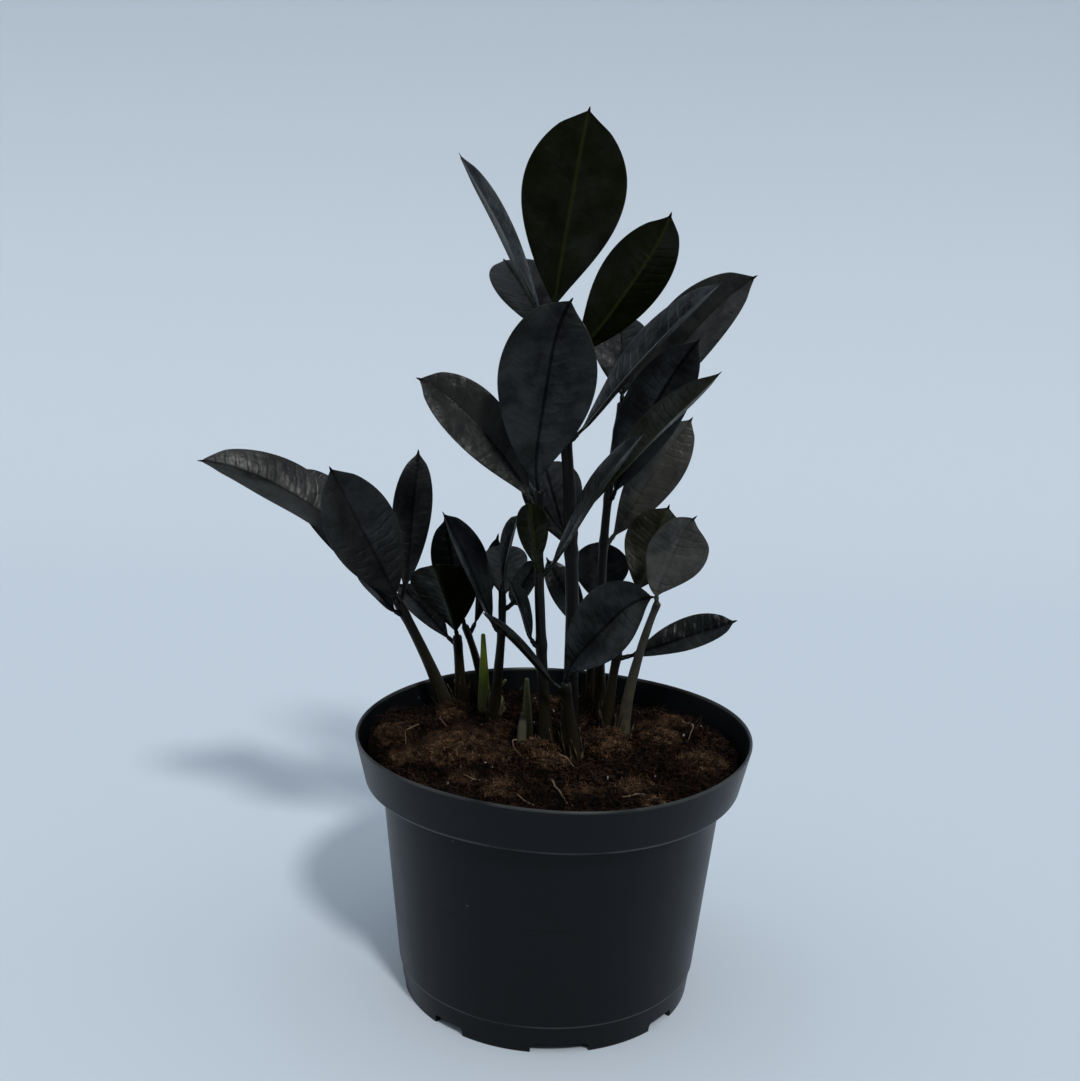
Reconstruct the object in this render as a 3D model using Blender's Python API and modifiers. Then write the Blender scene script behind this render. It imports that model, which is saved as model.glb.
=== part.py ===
"""Potted ZZ plant: a black nursery pot, its soil, eleven leaf stalks with their leaflets, and four young shoots.

Metres, +Z up. The origin is at the middle of the pot's underside, on the ground; -Y is the front.
Each stalk stands in its own socket in the soil, and each leaflet sits by its little stalk on its leaf stalk.
"""

import math

import bmesh
import bpy
from mathutils import Matrix, Quaternion, Vector

CLEARANCE = 0.0003  # between pieces that touch

# Pot
POT_HEIGHT = 0.1217
RIM_RADIUS = 0.0864
RIM_HEIGHT = 0.0213
RIM_TAPER = 0.0041  # how much the rim band narrows on its way down
RIM_OVERHANG = 0.0076  # from the band's lower edge in to the wall
LEDGE_DROP = 0.0014
LIP_RADIUS = 0.0008
FOOT_TOP_RADIUS = 0.0673
FOOT_HEIGHT = 0.0131
FOOT_STEP = 0.0006
FOOT_TAPER = 0.0014
WALL = 0.0014
FLOOR_LIFT = 0.0050
FOOT_RING_WIDTH = 0.0022
PAD_RADIUS = 0.018
PAD_SLOPE = 0.004
POT_STEPS = 56

# How far the thin pot is out of round: (waves round the rim, outward cosine, outward sine, upward cosine, upward sine)
SQUEEZE = (
    (1, 0.0005, 0.0, 0.0, 0.0),
    (2, 0.0020, 0.0003, 0.0003, 0.0003),
    (3, 0.0001, 0.0003, 0.0013, 0.0),
)

# Foot notches and drainage holes
NOTCH_COUNT = 8
NOTCH_FIRST = math.radians(-83.6)
NOTCH_HEIGHT = 0.0042
NOTCH_WIDE = math.radians(22)
NOTCH_NARROW = math.radians(14)
DRAIN_RADIUS = 0.0045
DRAIN_INSET = 0.0173  # from the foot's top edge in to the middles of the holes
DRAIN_CIRCLE = FOOT_TOP_RADIUS - DRAIN_INSET

# Soil
SOIL_DROP = 0.0112  # from the rim's top down to the soil
SOIL_LEVEL = POT_HEIGHT - SOIL_DROP
SOIL_RINGS = 9
HEAP_HEIGHT = 0.0090
HEAP_PLACE = (-0.070, 0.006)
HEAP_SPREAD = 0.028
# Long low swells in the soil: (height, waves per metre along X, along Y, phase)
SWELLS = ((0.0011, 26, 9, 0.4), (0.0009, -14, 31, 1.9), (0.0006, 47, 38, 3.1))

# Stalks
STALK_POINTS = 9
SOCKET_DEPTH = 0.035
SOCKET_ABOVE = 0.012
COLLAR_RISE = 0.007
ROOT_LEAN = 0.12  # how far a buried end runs in towards the middle, as a share of its distance from it
# name: (foot x, foot y, foot radius), (top x, top y, top above the soil, top radius), bow towards +X at mid height
STALKS = {
    "main": ((0.007, 0.008, 0.0034), (-0.006, 0.002, 0.1955, 0.0022), 0.004),
    "second": ((-0.003, 0.000, 0.0027), (-0.010, -0.004, 0.1205, 0.0018), -0.001),
    "front": ((0.009, -0.008, 0.0026), (0.005, -0.013, 0.0365, 0.0019), 0.0),
    "back_tall": ((0.022, 0.047, 0.0026), (0.026, 0.045, 0.1525, 0.0017), -0.004),
    "back_short": ((0.017, 0.062, 0.0021), (0.018, 0.064, 0.0495, 0.0017), 0.0),
    "right_light": ((0.032, 0.018, 0.0026), (0.045, 0.019, 0.0655, 0.0016), -0.002),
    "right_grey": ((0.025, 0.027, 0.0024), (0.035, 0.028, 0.0655, 0.0015), -0.002),
    "left_lean": ((-0.052, 0.043, 0.0030), (-0.077, 0.043, 0.0575, 0.0021), 0.001),
    "left_mid": ((-0.045, 0.053, 0.0027), (-0.048, 0.052, 0.0355, 0.0020), 0.0),
    "left_thin": ((-0.035, 0.060, 0.0021), (-0.045, 0.060, 0.0385, 0.0016), 0.001),
    "left_front": ((-0.028, 0.032, 0.0025), (-0.026, 0.032, 0.0655, 0.0016), 0.001),
}

# Young shoots: (foot x, foot y, foot radius), (top x, top y, top above the soil, top radius), bow
SHOOTS = {
    "tall": ((-0.033, 0.043, 0.0020), (-0.035, 0.042, 0.0405, 0.0007), 0.0),
    "middle": ((-0.012, 0.018, 0.0022), (-0.013, 0.018, 0.0275, 0.0009), 0.0),
    "small": ((-0.027, 0.048, 0.0014), (-0.024, 0.047, 0.0165, 0.0006), 0.0),
    "stub": ((-0.014, 0.010, 0.0017), (-0.014, 0.010, 0.0135, 0.0010), 0.0),
}

# Leaflets
LEAFLET_STALK = 0.0035
LEAFLET_STALK_RADIUS = 0.0011
MIDRIB_THICKNESS = 0.0016
BLADE_THICKNESS = 0.0009
BLADE_SHARES = (0.0, 0.10, 0.24, 0.42, 0.60, 0.77, 0.90, 0.97)
TIP_SHARPNESS = 0.74
BASE_SHARPNESS = 0.95
# stalk: (name, share up the stalk, azimuth, elevation, length, width, face azimuth, face elevation, curl, sweep, fold)
# Azimuths run from +X towards +Y. The face is where the upper side looks. A positive curl bends the tip away
# from that face, a positive sweep bows the blade to its right as seen from that face with the tip up and then
# back to its tip, and the fold lifts both edges towards the face. Angles in degrees, sizes in millimetres.
LEAFLETS = {
    "main": (
        ("tip", 1.00, -34, 80, 84, 44, 90, 5, -14, -3, 10),
        ("right_top", 0.90, -12, 57, 75, 29, 95, 20, -10, 16, 10),
        ("left_top", 0.98, 172, 61, 80, 28, -7, 30, 2, 0, 12),
        ("back_top", 0.94, 121, 35, 57, 28, -90, 50, 20, 0, 12),
        ("right_mid", 0.72, -12, 50, 91, 32, 195, 41, 10, 0, 14),
        ("right_low", 0.54, -20, 49, 90, 24, 134, 40, 10, 0, 14),
        ("left_low", 0.50, 155, 48, 64, 24, -8, 38, 8, 0, 14),
        ("back_mid", 0.45, 111, 44, 50, 28, -90, 20, 16, 0, 12),
    ),
    "second": (
        ("tip", 1.00, -38, 80, 84, 42, -90, 10, 12, 22, 10),
        ("left", 0.95, 167, 45, 75, 27, -90, 35, 16, -32, 12),
        ("right", 0.68, -26, 58, 80, 22, 190, 35, 10, 0, 16),
        ("front", 0.70, -108, 70, 37, 14, 90, 0, 10, 0, 16),
        ("low", 0.39, -155, 69, 35, 12, -30, 40, 14, 0, 16),
    ),
    "back_tall": (
        ("tip", 1.00, 96, 58, 45, 27, -90, 25, 16, 0, 12),
        ("right_top", 0.92, -14, 53, 93, 32, -110, 30, 10, 26, 12),
        ("right_mid", 0.70, -34, 63, 88, 28, -90, 25, 10, 20, 14),
        ("right_low", 0.55, 12, 59, 70, 24, -70, 30, 12, 10, 14),
    ),
    "back_short": (
        ("tip", 1.00, 50, 81, 33, 28, -90, -10, 12, 0, 10),
        ("left", 0.67, 164, 60, 43, 16, -80, 30, 14, 0, 12),
    ),
    "right_light": (("tip", 1.00, -12, 66, 45, 30, -65, 20, 10, 46, 10),),
    "right_grey": (
        ("tip", 1.00, 46, 62, 45, 28, 90, 0, 12, 0, 10),
        ("low", 0.51, 0, 22, 55, 17, -80, 50, 10, 0, 14),
    ),
    "front": (
        ("tip", 1.00, -35, 48, 65, 30, -120, 20, 12, 32, 12),
        ("left", 0.94, 180, 45, 49, 12, 0, 45, 10, 0, 16),
    ),
    "left_lean": (
        ("tip", 1.00, -174, 35, 113, 29, -80, 60, 30, -40, 12),
        ("front", 0.97, -138, 61, 79, 33, -90, 30, 14, 0, 12),
        ("right", 0.97, 75, 77, 70, 19, -90, 10, 12, 0, 14),
        ("back", 0.92, 152, 44, 87, 28, -90, 60, 14, 0, 12),
        ("low", 0.86, -155, 48, 33, 14, -60, 60, 10, 0, 12),
    ),
    "left_mid": (
        ("tip", 1.00, -108, 54, 53, 32, 90, 40, 12, 0, 10),
        ("left", 0.90, 151, 37, 41, 16, -60, 40, 12, 0, 14),
    ),
    "left_thin": (
        ("tip", 1.00, 138, 74, 53, 20, -90, 0, 12, 0, 10),
        ("right", 0.90, 50, 71, 49, 9, -90, 10, 12, 0, 16),
    ),
    "left_front": (
        ("tip", 1.00, -55, 72, 40, 15, 200, 10, 10, 0, 14),
        ("left", 0.68, -157, 66, 64, 22, -30, 30, 12, 0, 18),
        ("back", 0.91, 90, 34, 36, 22, -90, 30, 12, 0, 12),
        ("right", 0.86, 0, 63, 28, 12, -90, 40, 10, 0, 12),
    ),
}


def clear_scene():
    for obj in list(bpy.data.objects):
        bpy.data.objects.remove(obj, do_unlink=True)


def new_collection(name):
    collection = bpy.data.collections.new(name)
    bpy.context.scene.collection.children.link(collection)
    return collection


def material(name, colour, roughness):
    made = bpy.data.materials.new(name)
    made.use_nodes = True
    shader = made.node_tree.nodes["Principled BSDF"]
    shader.inputs["Base Color"].default_value = (*colour, 1.0)
    shader.inputs["Roughness"].default_value = roughness
    return made


def add_object(name, data, collection, finish=None):
    obj = bpy.data.objects.new(name, data)
    collection.objects.link(obj)
    if finish:
        data.materials.append(finish)
    return obj


def add_mesh(name, shape, collection, finish=None):
    """An object made from a bmesh, with its faces pointing out."""
    bmesh.ops.recalc_face_normals(shape, faces=shape.faces)
    mesh = bpy.data.meshes.new(name)
    shape.to_mesh(mesh)
    shape.free()
    return add_object(name, mesh, collection, finish)


def shade_round(mesh, angle=40):
    mesh.shade_smooth()
    mesh.set_sharp_from_angle(angle=math.radians(angle))


def turned(name, profile, collection, finish):
    """A closed profile of (radius, height) points, top to bottom down its outer side, turned round Z."""
    shape = bmesh.new()
    corners = [shape.verts.new((radius, 0.0, height)) for radius, height in profile]
    for start, end in zip(corners, corners[1:] + corners[:1]):
        if start.co.x > 0 or end.co.x > 0:
            shape.edges.new((start, end))
    mesh = bpy.data.meshes.new(name)
    shape.to_mesh(mesh)
    shape.free()
    obj = add_object(name, mesh, collection, finish)
    screw = obj.modifiers.new("Turn", "SCREW")
    screw.steps = screw.render_steps = POT_STEPS
    screw.use_merge_vertices = True
    screw.merge_threshold = 1e-5
    return bake(obj)


def bake(obj):
    """The object's modifiers made into its own plain mesh."""
    bpy.context.view_layer.update()
    graph = bpy.context.evaluated_depsgraph_get()
    mesh = bpy.data.meshes.new_from_object(obj.evaluated_get(graph))
    obj.modifiers.clear()
    obj.data = mesh
    return obj


def squeezed(point):
    """Where a point of the round pot goes once the rim is pushed out of round, fading to nothing at the foot."""
    radius = math.hypot(point.x, point.y)
    if radius == 0:
        return point.copy()
    angle = math.atan2(point.y, point.x)
    outward = upward = 0.0
    for waves, out_cos, out_sin, up_cos, up_sin in SQUEEZE:
        outward += out_cos * math.cos(waves * angle) + out_sin * math.sin(waves * angle)
        upward += up_cos * math.cos(waves * angle) + up_sin * math.sin(waves * angle)
    share = max(point.z / POT_HEIGHT, 0.0) * radius / RIM_RADIUS
    grown = (radius + outward * share) / radius
    return Vector((point.x * grown, point.y * grown, point.z + upward * share * share))


def squeeze(obj):
    for vertex in obj.data.vertices:
        vertex.co = squeezed(vertex.co)


def band_bottom_radius():
    return RIM_RADIUS - RIM_TAPER


def ledge_radius():
    """The wall's outer radius where the rim band overhangs it."""
    return band_bottom_radius() - RIM_OVERHANG


def band_bottom_height():
    return POT_HEIGHT - RIM_HEIGHT


def outer_profile():
    """The pot's outside, from the lip down to the foot."""
    return [
        (RIM_RADIUS - LIP_RADIUS, POT_HEIGHT),
        (RIM_RADIUS - 0.3 * LIP_RADIUS, POT_HEIGHT - 0.3 * LIP_RADIUS),
        (RIM_RADIUS, POT_HEIGHT - LIP_RADIUS),
        (band_bottom_radius(), band_bottom_height() + LIP_RADIUS),
        (band_bottom_radius() - LIP_RADIUS, band_bottom_height()),
        (ledge_radius() + WALL, band_bottom_height() - LEDGE_DROP),
        (ledge_radius(), band_bottom_height() - 2 * LEDGE_DROP),
        (FOOT_TOP_RADIUS, FOOT_HEIGHT),
        (FOOT_TOP_RADIUS - FOOT_STEP, FOOT_HEIGHT - FOOT_STEP),
        (FOOT_TOP_RADIUS - FOOT_STEP - FOOT_TAPER, 0.0),
    ]


def floor_profile():
    """The underside, from the foot ring in to the flat pad in the middle."""
    ring = FOOT_TOP_RADIUS - FOOT_STEP - FOOT_TAPER - FOOT_RING_WIDTH
    return [
        (ring, 0.0),
        (ring - 0.25 * FOOT_RING_WIDTH, FLOOR_LIFT),
        (PAD_RADIUS + PAD_SLOPE, FLOOR_LIFT),
        (PAD_RADIUS, 0.0),
        (0.0, 0.0),
    ]


def inner_profile(offset=0.0):
    """The inside, from the middle of the floor up to the lip, moved in by an offset."""
    floor = FLOOR_LIFT + WALL + offset
    return [
        (0.0, WALL + offset),
        (PAD_RADIUS - 0.5 * WALL - offset, WALL + offset),
        (PAD_RADIUS + PAD_SLOPE - 0.5 * WALL - offset, floor),
        (FOOT_TOP_RADIUS - FOOT_STEP - FOOT_TAPER - WALL - offset, floor),
        (FOOT_TOP_RADIUS - WALL - offset, FOOT_HEIGHT + WALL),
        (ledge_radius() - WALL - offset, band_bottom_height() - LEDGE_DROP + offset),
        (band_bottom_radius() - WALL - offset, band_bottom_height() + WALL + offset),
        (RIM_RADIUS - WALL - offset, POT_HEIGHT - LIP_RADIUS),
    ]


def make_pot(parts, cutters, finish):
    pot = turned("pot", outer_profile() + floor_profile() + inner_profile(), parts, finish)
    squeeze(pot)
    for index in range(NOTCH_COUNT):
        angle = NOTCH_FIRST + index * math.tau / NOTCH_COUNT
        width = NOTCH_NARROW if index % 2 else NOTCH_WIDE
        cut(pot, notch_cutter(index, angle, width, cutters))
        cut(pot, drain_cutter(index, angle, cutters))
    shade_round(pot.data)
    return pot


def notch_cutter(index, angle, width, cutters):
    """A low wedge through the foot ring, as wide as its share of the circle."""
    outer = FOOT_TOP_RADIUS + 0.01
    inner = FOOT_TOP_RADIUS - 0.012
    steps = 4
    shape = bmesh.new()
    outline = []
    for radius, way in ((outer, 1), (inner, -1)):
        for step in range(steps + 1):
            turn = angle + way * width * (step / steps - 0.5)
            outline.append(shape.verts.new((radius * math.cos(turn), radius * math.sin(turn), -0.01)))
    face = shape.faces.new(outline)
    raised = bmesh.ops.extrude_face_region(shape, geom=[face])["geom"]
    top = [item for item in raised if isinstance(item, bmesh.types.BMVert)]
    bmesh.ops.translate(shape, verts=top, vec=(0, 0, 0.01 + NOTCH_HEIGHT))
    return add_mesh(f"notch_cutter_{index}", shape, cutters)


def drain_cutter(index, angle, cutters):
    shape = bmesh.new()
    bmesh.ops.create_cone(
        shape, cap_ends=True, segments=12, radius1=DRAIN_RADIUS, radius2=DRAIN_RADIUS, depth=0.02
    )
    place = (DRAIN_CIRCLE * math.cos(angle), DRAIN_CIRCLE * math.sin(angle), FLOOR_LIFT)
    bmesh.ops.translate(shape, verts=shape.verts, vec=place)
    return add_mesh(f"drain_cutter_{index}", shape, cutters)


def cut(obj, cutter):
    cutter.hide_render = True
    cutter.display_type = "WIRE"
    boolean = obj.modifiers.new(cutter.name, "BOOLEAN")
    boolean.operation = "DIFFERENCE"
    boolean.solver = "EXACT"
    boolean.object = cutter


def soil_height(x, y):
    """The height of the soil's surface: level, with a heap on the left and a few long swells."""
    away = math.hypot(x - HEAP_PLACE[0], y - HEAP_PLACE[1]) / HEAP_SPREAD
    height = SOIL_LEVEL + HEAP_HEIGHT * math.exp(-away * away)
    for size, along_x, along_y, phase in SWELLS:
        height += size * math.sin(math.tau * (along_x * x + along_y * y) + phase)
    return height


def make_soil(parts, cutters, finish, sockets):
    """The root ball and the soil on it, filling the pot, with a socket for each stalk and shoot."""
    sides = inner_profile(CLEARANCE)[:-1]
    slope = RIM_TAPER / RIM_HEIGHT
    edge = sides[-1][0] + slope * (SOIL_LEVEL - sides[-1][1])
    surface = [(edge * index / SOIL_RINGS, SOIL_LEVEL) for index in range(SOIL_RINGS + 1)]
    soil = turned("soil", surface + sides[::-1], parts, finish)
    for vertex in soil.data.vertices:
        if vertex.co.z > SOIL_LEVEL - 1e-5:
            vertex.co.z = soil_height(vertex.co.x, vertex.co.y)
            fit = 1 + slope * (vertex.co.z - SOIL_LEVEL) / edge
            vertex.co.x *= fit
            vertex.co.y *= fit
    squeeze(soil)
    for name, foot, way, radius in sockets:
        cut(soil, socket_cutter(name, foot, way, radius, cutters))
    shade_round(soil.data)
    return soil


def socket_cutter(name, foot, way, radius, cutters):
    """A straight bore round the buried end of a stalk, from below its end to above the soil."""
    depth = SOCKET_DEPTH + CLEARANCE + SOCKET_ABOVE
    shape = bmesh.new()
    bmesh.ops.create_cone(
        shape, cap_ends=True, segments=12, radius1=radius, radius2=radius, depth=depth
    )
    turn = Vector((0, 0, 1)).rotation_difference(way).to_matrix().to_4x4()
    middle = foot + way * (SOCKET_ABOVE - SOCKET_DEPTH - CLEARANCE) / 2
    bmesh.ops.transform(shape, matrix=Matrix.Translation(middle) @ turn, verts=shape.verts)
    return add_mesh(f"{name}_socket_cutter", shape, cutters)


class Stalk:
    """A tapered stalk on a gently bowed curve, from its foot in the soil to its top."""

    def __init__(self, foot, top, bow):
        self.foot = Vector((foot[0], foot[1], SOIL_LEVEL))
        root = Vector((foot[0] * (1 - ROOT_LEAN), foot[1] * (1 - ROOT_LEAN), SOIL_LEVEL - SOCKET_DEPTH))
        self.root_way = (self.foot - root).normalized()
        self.collar = self.foot + self.root_way * COLLAR_RISE
        self.top = Vector((top[0], top[1], SOIL_LEVEL + top[2]))
        self.middle = (self.collar + self.top) / 2 + Vector((2 * bow, 0, 0))
        self.foot_radius = foot[2]
        self.top_radius = top[3]

    def point(self, share):
        low = self.collar.lerp(self.middle, share)
        return low.lerp(self.middle.lerp(self.top, share), share)

    def way(self, share):
        start = self.middle - self.collar
        end = self.top - self.middle
        return start.lerp(end, share).normalized()

    def radius(self, share):
        return self.foot_radius + (self.top_radius - self.foot_radius) * share


def make_stalk(name, stalk, parts, finish):
    """The stalk as a bevelled curve, with its buried end straight below the foot."""
    curve = bpy.data.curves.new(name, "CURVE")
    curve.dimensions = "3D"
    curve.bevel_depth = 1.0
    curve.bevel_resolution = 2
    curve.use_fill_caps = True
    points = [(stalk.foot - stalk.root_way * SOCKET_DEPTH, stalk.foot_radius)]
    for index in range(STALK_POINTS):
        share = index / (STALK_POINTS - 1)
        points.append((stalk.point(share), stalk.radius(share)))
    spline = curve.splines.new("POLY")
    spline.points.add(len(points) - 1)
    for target, (place, radius) in zip(spline.points, points):
        target.co = (*place, 1.0)
        target.radius = radius
    return add_object(name, curve, parts, finish)


def direction(azimuth, elevation):
    azimuth = math.radians(azimuth)
    elevation = math.radians(elevation)
    flat = math.cos(elevation)
    return Vector((flat * math.cos(azimuth), flat * math.sin(azimuth), math.sin(elevation)))


def across(vector, axis):
    """The part of a vector that is square to an axis, at unit length."""
    return (vector - axis * vector.dot(axis)).normalized()


def outline(share):
    """A leaflet's half width at a share of its length, 1 at its widest: broad below the middle, with a drawn-out tip."""
    widest = BASE_SHARPNESS / (BASE_SHARPNESS + TIP_SHARPNESS)
    peak = widest**BASE_SHARPNESS * (1 - widest) ** TIP_SHARPNESS
    return share**BASE_SHARPNESS * (1 - share) ** TIP_SHARPNESS / peak


def ring_points(centre, side, face, half_width, middle_thickness, side_thickness, fold):
    """Eight points of a leaflet's section: two sharp edges, and the upper and lower side between them."""
    points = []
    lift = math.tan(math.radians(fold))
    for along, thickness in (
        (-1.0, 0.0),
        (-0.55, side_thickness),
        (0.0, middle_thickness),
        (0.55, side_thickness),
        (1.0, 0.0),
        (0.55, -side_thickness),
        (0.0, -middle_thickness),
        (-0.55, -side_thickness),
    ):
        height = abs(along) * half_width * lift + thickness / 2
        points.append(centre + side * along * half_width + face * height)
    return points


def leaflet_rings(stalk, share, azimuth, elevation, length, width, face_azimuth, face_elevation, curl, sweep, fold):
    """The sections of a leaflet, from its seat on the stalk to its tip, and the tip's point."""
    chord = direction(azimuth, elevation)
    face = across(direction(face_azimuth, face_elevation), chord)
    side = chord.cross(face)
    if share >= 1.0:
        outward = stalk.way(1)
        seat = stalk.point(1) + outward * CLEARANCE
    else:
        outward = across(chord, stalk.way(share))
        seat = stalk.point(share) + outward * (stalk.radius(share) + CLEARANCE)
    bend = math.radians(curl)
    bow = math.radians(sweep)

    def heading(blade_share):
        curled = Quaternion(side, bend * (0.5 - blade_share)) @ chord
        return Quaternion(face, bow * (0.5 - blade_share)) @ curled

    first_side = across(side, outward)
    rings = [stalk_ring(seat, first_side, outward.cross(first_side), 1.0)]
    half_way = seat + outward * LEAFLET_STALK * 0.55
    mean_way = (outward + heading(0)).normalized()
    mean_side = across(side, mean_way)
    rings.append(stalk_ring(half_way, mean_side, mean_way.cross(mean_side), 0.85))
    centre = half_way + heading(0) * LEAFLET_STALK * 0.45
    blade = length - LEAFLET_STALK
    last = 0.0
    for blade_share in BLADE_SHARES:
        step = blade * (blade_share - last)
        centre = centre + heading((blade_share + last) / 2) * step
        half = max(width / 2 * outline(blade_share), LEAFLET_STALK_RADIUS)
        thin = 1 - 0.45 * blade_share
        upward = across(face, heading(blade_share))
        sideways = heading(blade_share).cross(upward)
        rings.append(
            ring_points(centre, sideways, upward, half, MIDRIB_THICKNESS * thin, BLADE_THICKNESS * thin,
                        fold * min(1.0, blade_share * 8))
        )
        last = blade_share
    tip = centre + heading(1) * blade * (1 - last)
    return rings, tip


def stalk_ring(centre, side, face, size):
    """An eight-sided ring round a leaflet's own little stalk."""
    points = []
    for index in range(8):
        turn = math.pi - index * math.tau / 8
        reach = LEAFLET_STALK_RADIUS * size
        points.append(centre + side * math.cos(turn) * reach - face * math.sin(turn) * reach)
    return points


def make_leaflet(name, stalk, size, parts, finish):
    """A leaflet lofted through its sections, closed by a cap at its seat and a point at its tip."""
    share, azimuth, elevation, length, width, *face_and_bends = size
    rings, tip = leaflet_rings(
        stalk, share, azimuth, elevation, length / 1000, width / 1000, *face_and_bends
    )
    shape = bmesh.new()
    loops = [[shape.verts.new(point) for point in ring] for ring in rings]
    point = shape.verts.new(tip)
    count = len(loops[0])
    for low, high in zip(loops, loops[1:]):
        for index in range(count):
            following = (index + 1) % count
            shape.faces.new((low[index], low[following], high[following], high[index]))
    for index in range(count):
        shape.faces.new((loops[-1][index], loops[-1][(index + 1) % count], point))
    shape.faces.new(loops[0][::-1])
    obj = add_mesh(name, shape, parts, finish)
    shade_round(obj.data, 60)
    return obj


def main():
    clear_scene()
    parts = new_collection("Potted ZZ plant")
    cutters = new_collection("Cutters")
    plastic = material("Black plastic", (0.012, 0.014, 0.017), 0.45)
    earth = material("Soil", (0.030, 0.020, 0.014), 0.95)
    bark = material("Dark stalk", (0.035, 0.033, 0.024), 0.45)
    green = material("Young shoot", (0.20, 0.26, 0.06), 0.45)
    leaf = material("Black leaf", (0.010, 0.014, 0.015), 0.30)
    sockets = []
    for group, sizes, finish in (("stalk", STALKS, bark), ("shoot", SHOOTS, green)):
        for name, (foot, top, bow) in sizes.items():
            stalk = Stalk(foot, top, bow)
            node = f"{group}_{name}"
            make_stalk(node, stalk, parts, finish)
            sockets.append((node, stalk.foot, stalk.root_way, stalk.foot_radius + 1.5 * CLEARANCE))
            for leaflet, *size in LEAFLETS.get(name, ()) if group == "stalk" else ():
                make_leaflet(f"leaflet_{name}_{leaflet}", stalk, size, parts, leaf)
    make_pot(parts, cutters, plastic)
    make_soil(parts, cutters, earth, sockets)


if __name__ == "__main__":
    main()
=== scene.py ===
"""A black-leaved ZZ plant in its black nursery pot, laid out as a Blender add-on and run as a script.

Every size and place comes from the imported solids: stalks and leaflets are measured section by section and
built again at a finer grain, and the soil and the pot follow their solids' own surfaces.
"""

import math

import bmesh
import bpy
import numpy as np
from bpy.props import FloatProperty, FloatVectorProperty, IntProperty, PointerProperty
from mathutils import Matrix, Vector, noise
from mathutils.bvhtree import BVHTree


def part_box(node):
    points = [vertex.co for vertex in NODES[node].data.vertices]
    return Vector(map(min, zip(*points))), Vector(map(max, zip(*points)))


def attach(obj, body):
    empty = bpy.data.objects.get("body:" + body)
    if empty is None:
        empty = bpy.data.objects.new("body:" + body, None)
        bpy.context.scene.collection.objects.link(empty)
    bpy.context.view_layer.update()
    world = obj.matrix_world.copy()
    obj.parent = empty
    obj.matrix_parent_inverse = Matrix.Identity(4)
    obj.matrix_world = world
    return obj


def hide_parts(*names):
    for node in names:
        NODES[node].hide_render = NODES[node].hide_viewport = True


bl_info = {
    "name": "Potted ZZ Plant",
    "version": (1, 0, 0),
    "blender": (4, 5, 0),
    "location": "View3D > Sidebar > ZZ Plant",
    "description": "Builds the looks of a potted ZZ plant around its solids",
    "category": "Add Mesh",
}

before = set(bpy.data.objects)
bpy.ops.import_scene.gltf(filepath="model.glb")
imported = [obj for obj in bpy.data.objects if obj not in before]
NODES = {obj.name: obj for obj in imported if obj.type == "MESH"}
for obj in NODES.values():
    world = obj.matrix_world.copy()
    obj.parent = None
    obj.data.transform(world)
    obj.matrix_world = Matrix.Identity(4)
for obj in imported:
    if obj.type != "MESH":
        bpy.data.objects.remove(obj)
STALKS = sorted(name for name in NODES if name.startswith("stalk_"))
SHOOTS = sorted(name for name in NODES if name.startswith("shoot_"))
LEAFLETS = sorted(name for name in NODES if name.startswith("leaflet_"))
POT_LOW, POT_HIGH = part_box("pot")
SOIL_LOW, SOIL_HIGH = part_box("soil")

MERGE = 1e-5  # corners of a solid that are this close are one
TINY = 1e-9

# Leaflets
SEAT_CORNERS = 8  # corners of the section where a leaflet meets its stalk
PETIOLE = 0.0035  # the leaflet's own little stalk
PETIOLE_RADIUS = 0.00115
PETIOLE_ROWS = 7
BLADE_ROWS = 64
HALF_COLUMNS = 12
MIDRIB_THICK = 0.0013
BLADE_THICK = 0.0007
VEIN_SPACING = 0.0046
FOLD_MORE = 0.09  # the finer blade is folded a little more than its solid
TIP_POINT = 0.0018  # the little point at a leaflet's end
TIP_HALF = 0.00065
VEIN_SLANT = 0.75  # how far a side vein runs towards the tip for each step it takes outwards
PETIOLE_SUNK = 0.0009  # how far a leaflet's own stalk runs into its leaf stalk
VEE_ROUND = 0.10  # how round the fold is at the midrib, as a share of the half width
BELLY = 0.045  # how far each half bulges, as a share of the half width
EDGE_WAVE = 0.030
RIB_WIDTH = 0.0011
GROOVE_ABOVE = -0.00038
GROOVE_BELOW = -0.00055

# Stems
STEM_STEP = 0.0016
STEM_SIDES = 20
RING_GAP = 0.0004  # sections of a stem's solid are at least this far apart along it
NODE_SWELL = 0.16
NODE_REACH = 0.0028
SHEATH_STRIPS = 9  # to each stalk
SHEATH_HEIGHT = 0.017
SHEATH_ROWS = 8
SHEATH_AWAY = 1.42  # a sheath's distance from its stalk's middle, as a share of the stalk's radius
SHEATH_RADIUS = 0.00055
CAP_TURNS = (0.5, 1.0, 1.35)  # angles up the rounded end at which it has rings

# Pot
POT_SIDES = 192
POT_ROUNDING = 0.00045
RIM_SAMPLES = 72
RIM_DROP = 0.004  # how far below its top the rim's outline is read
LIP_INSET = 0.0009  # from the rim's outside in to the top of its lip
SEAM_HEIGHT = 0.49  # of the faint line round the wall, as a share of the pot's height
SCAN_STEPS = 720
SCAN_STEP = math.tau / SCAN_STEPS
BELOW = -0.02  # a level under the pot, from which its underside is read
FOOT_READ = 0.010  # the level at which the foot's outline is read
FOOT_RING_INSET = 0.0014  # from the foot's outside in to a circle that runs along its ring
NOTCH_LEVEL = 0.001  # the ring's underside is higher than this in a notch
NOTCH_CORNER = 0.0016
NOTCH_REACH = 0.006  # how far a notch's cutter runs in and out from the ring's middle
HOLE_CIRCLE = 0.050
HOLE_LEVEL = 0.02  # nothing of the floor is lower than this over a drainage hole
HOLE_SIDES = 40

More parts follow.
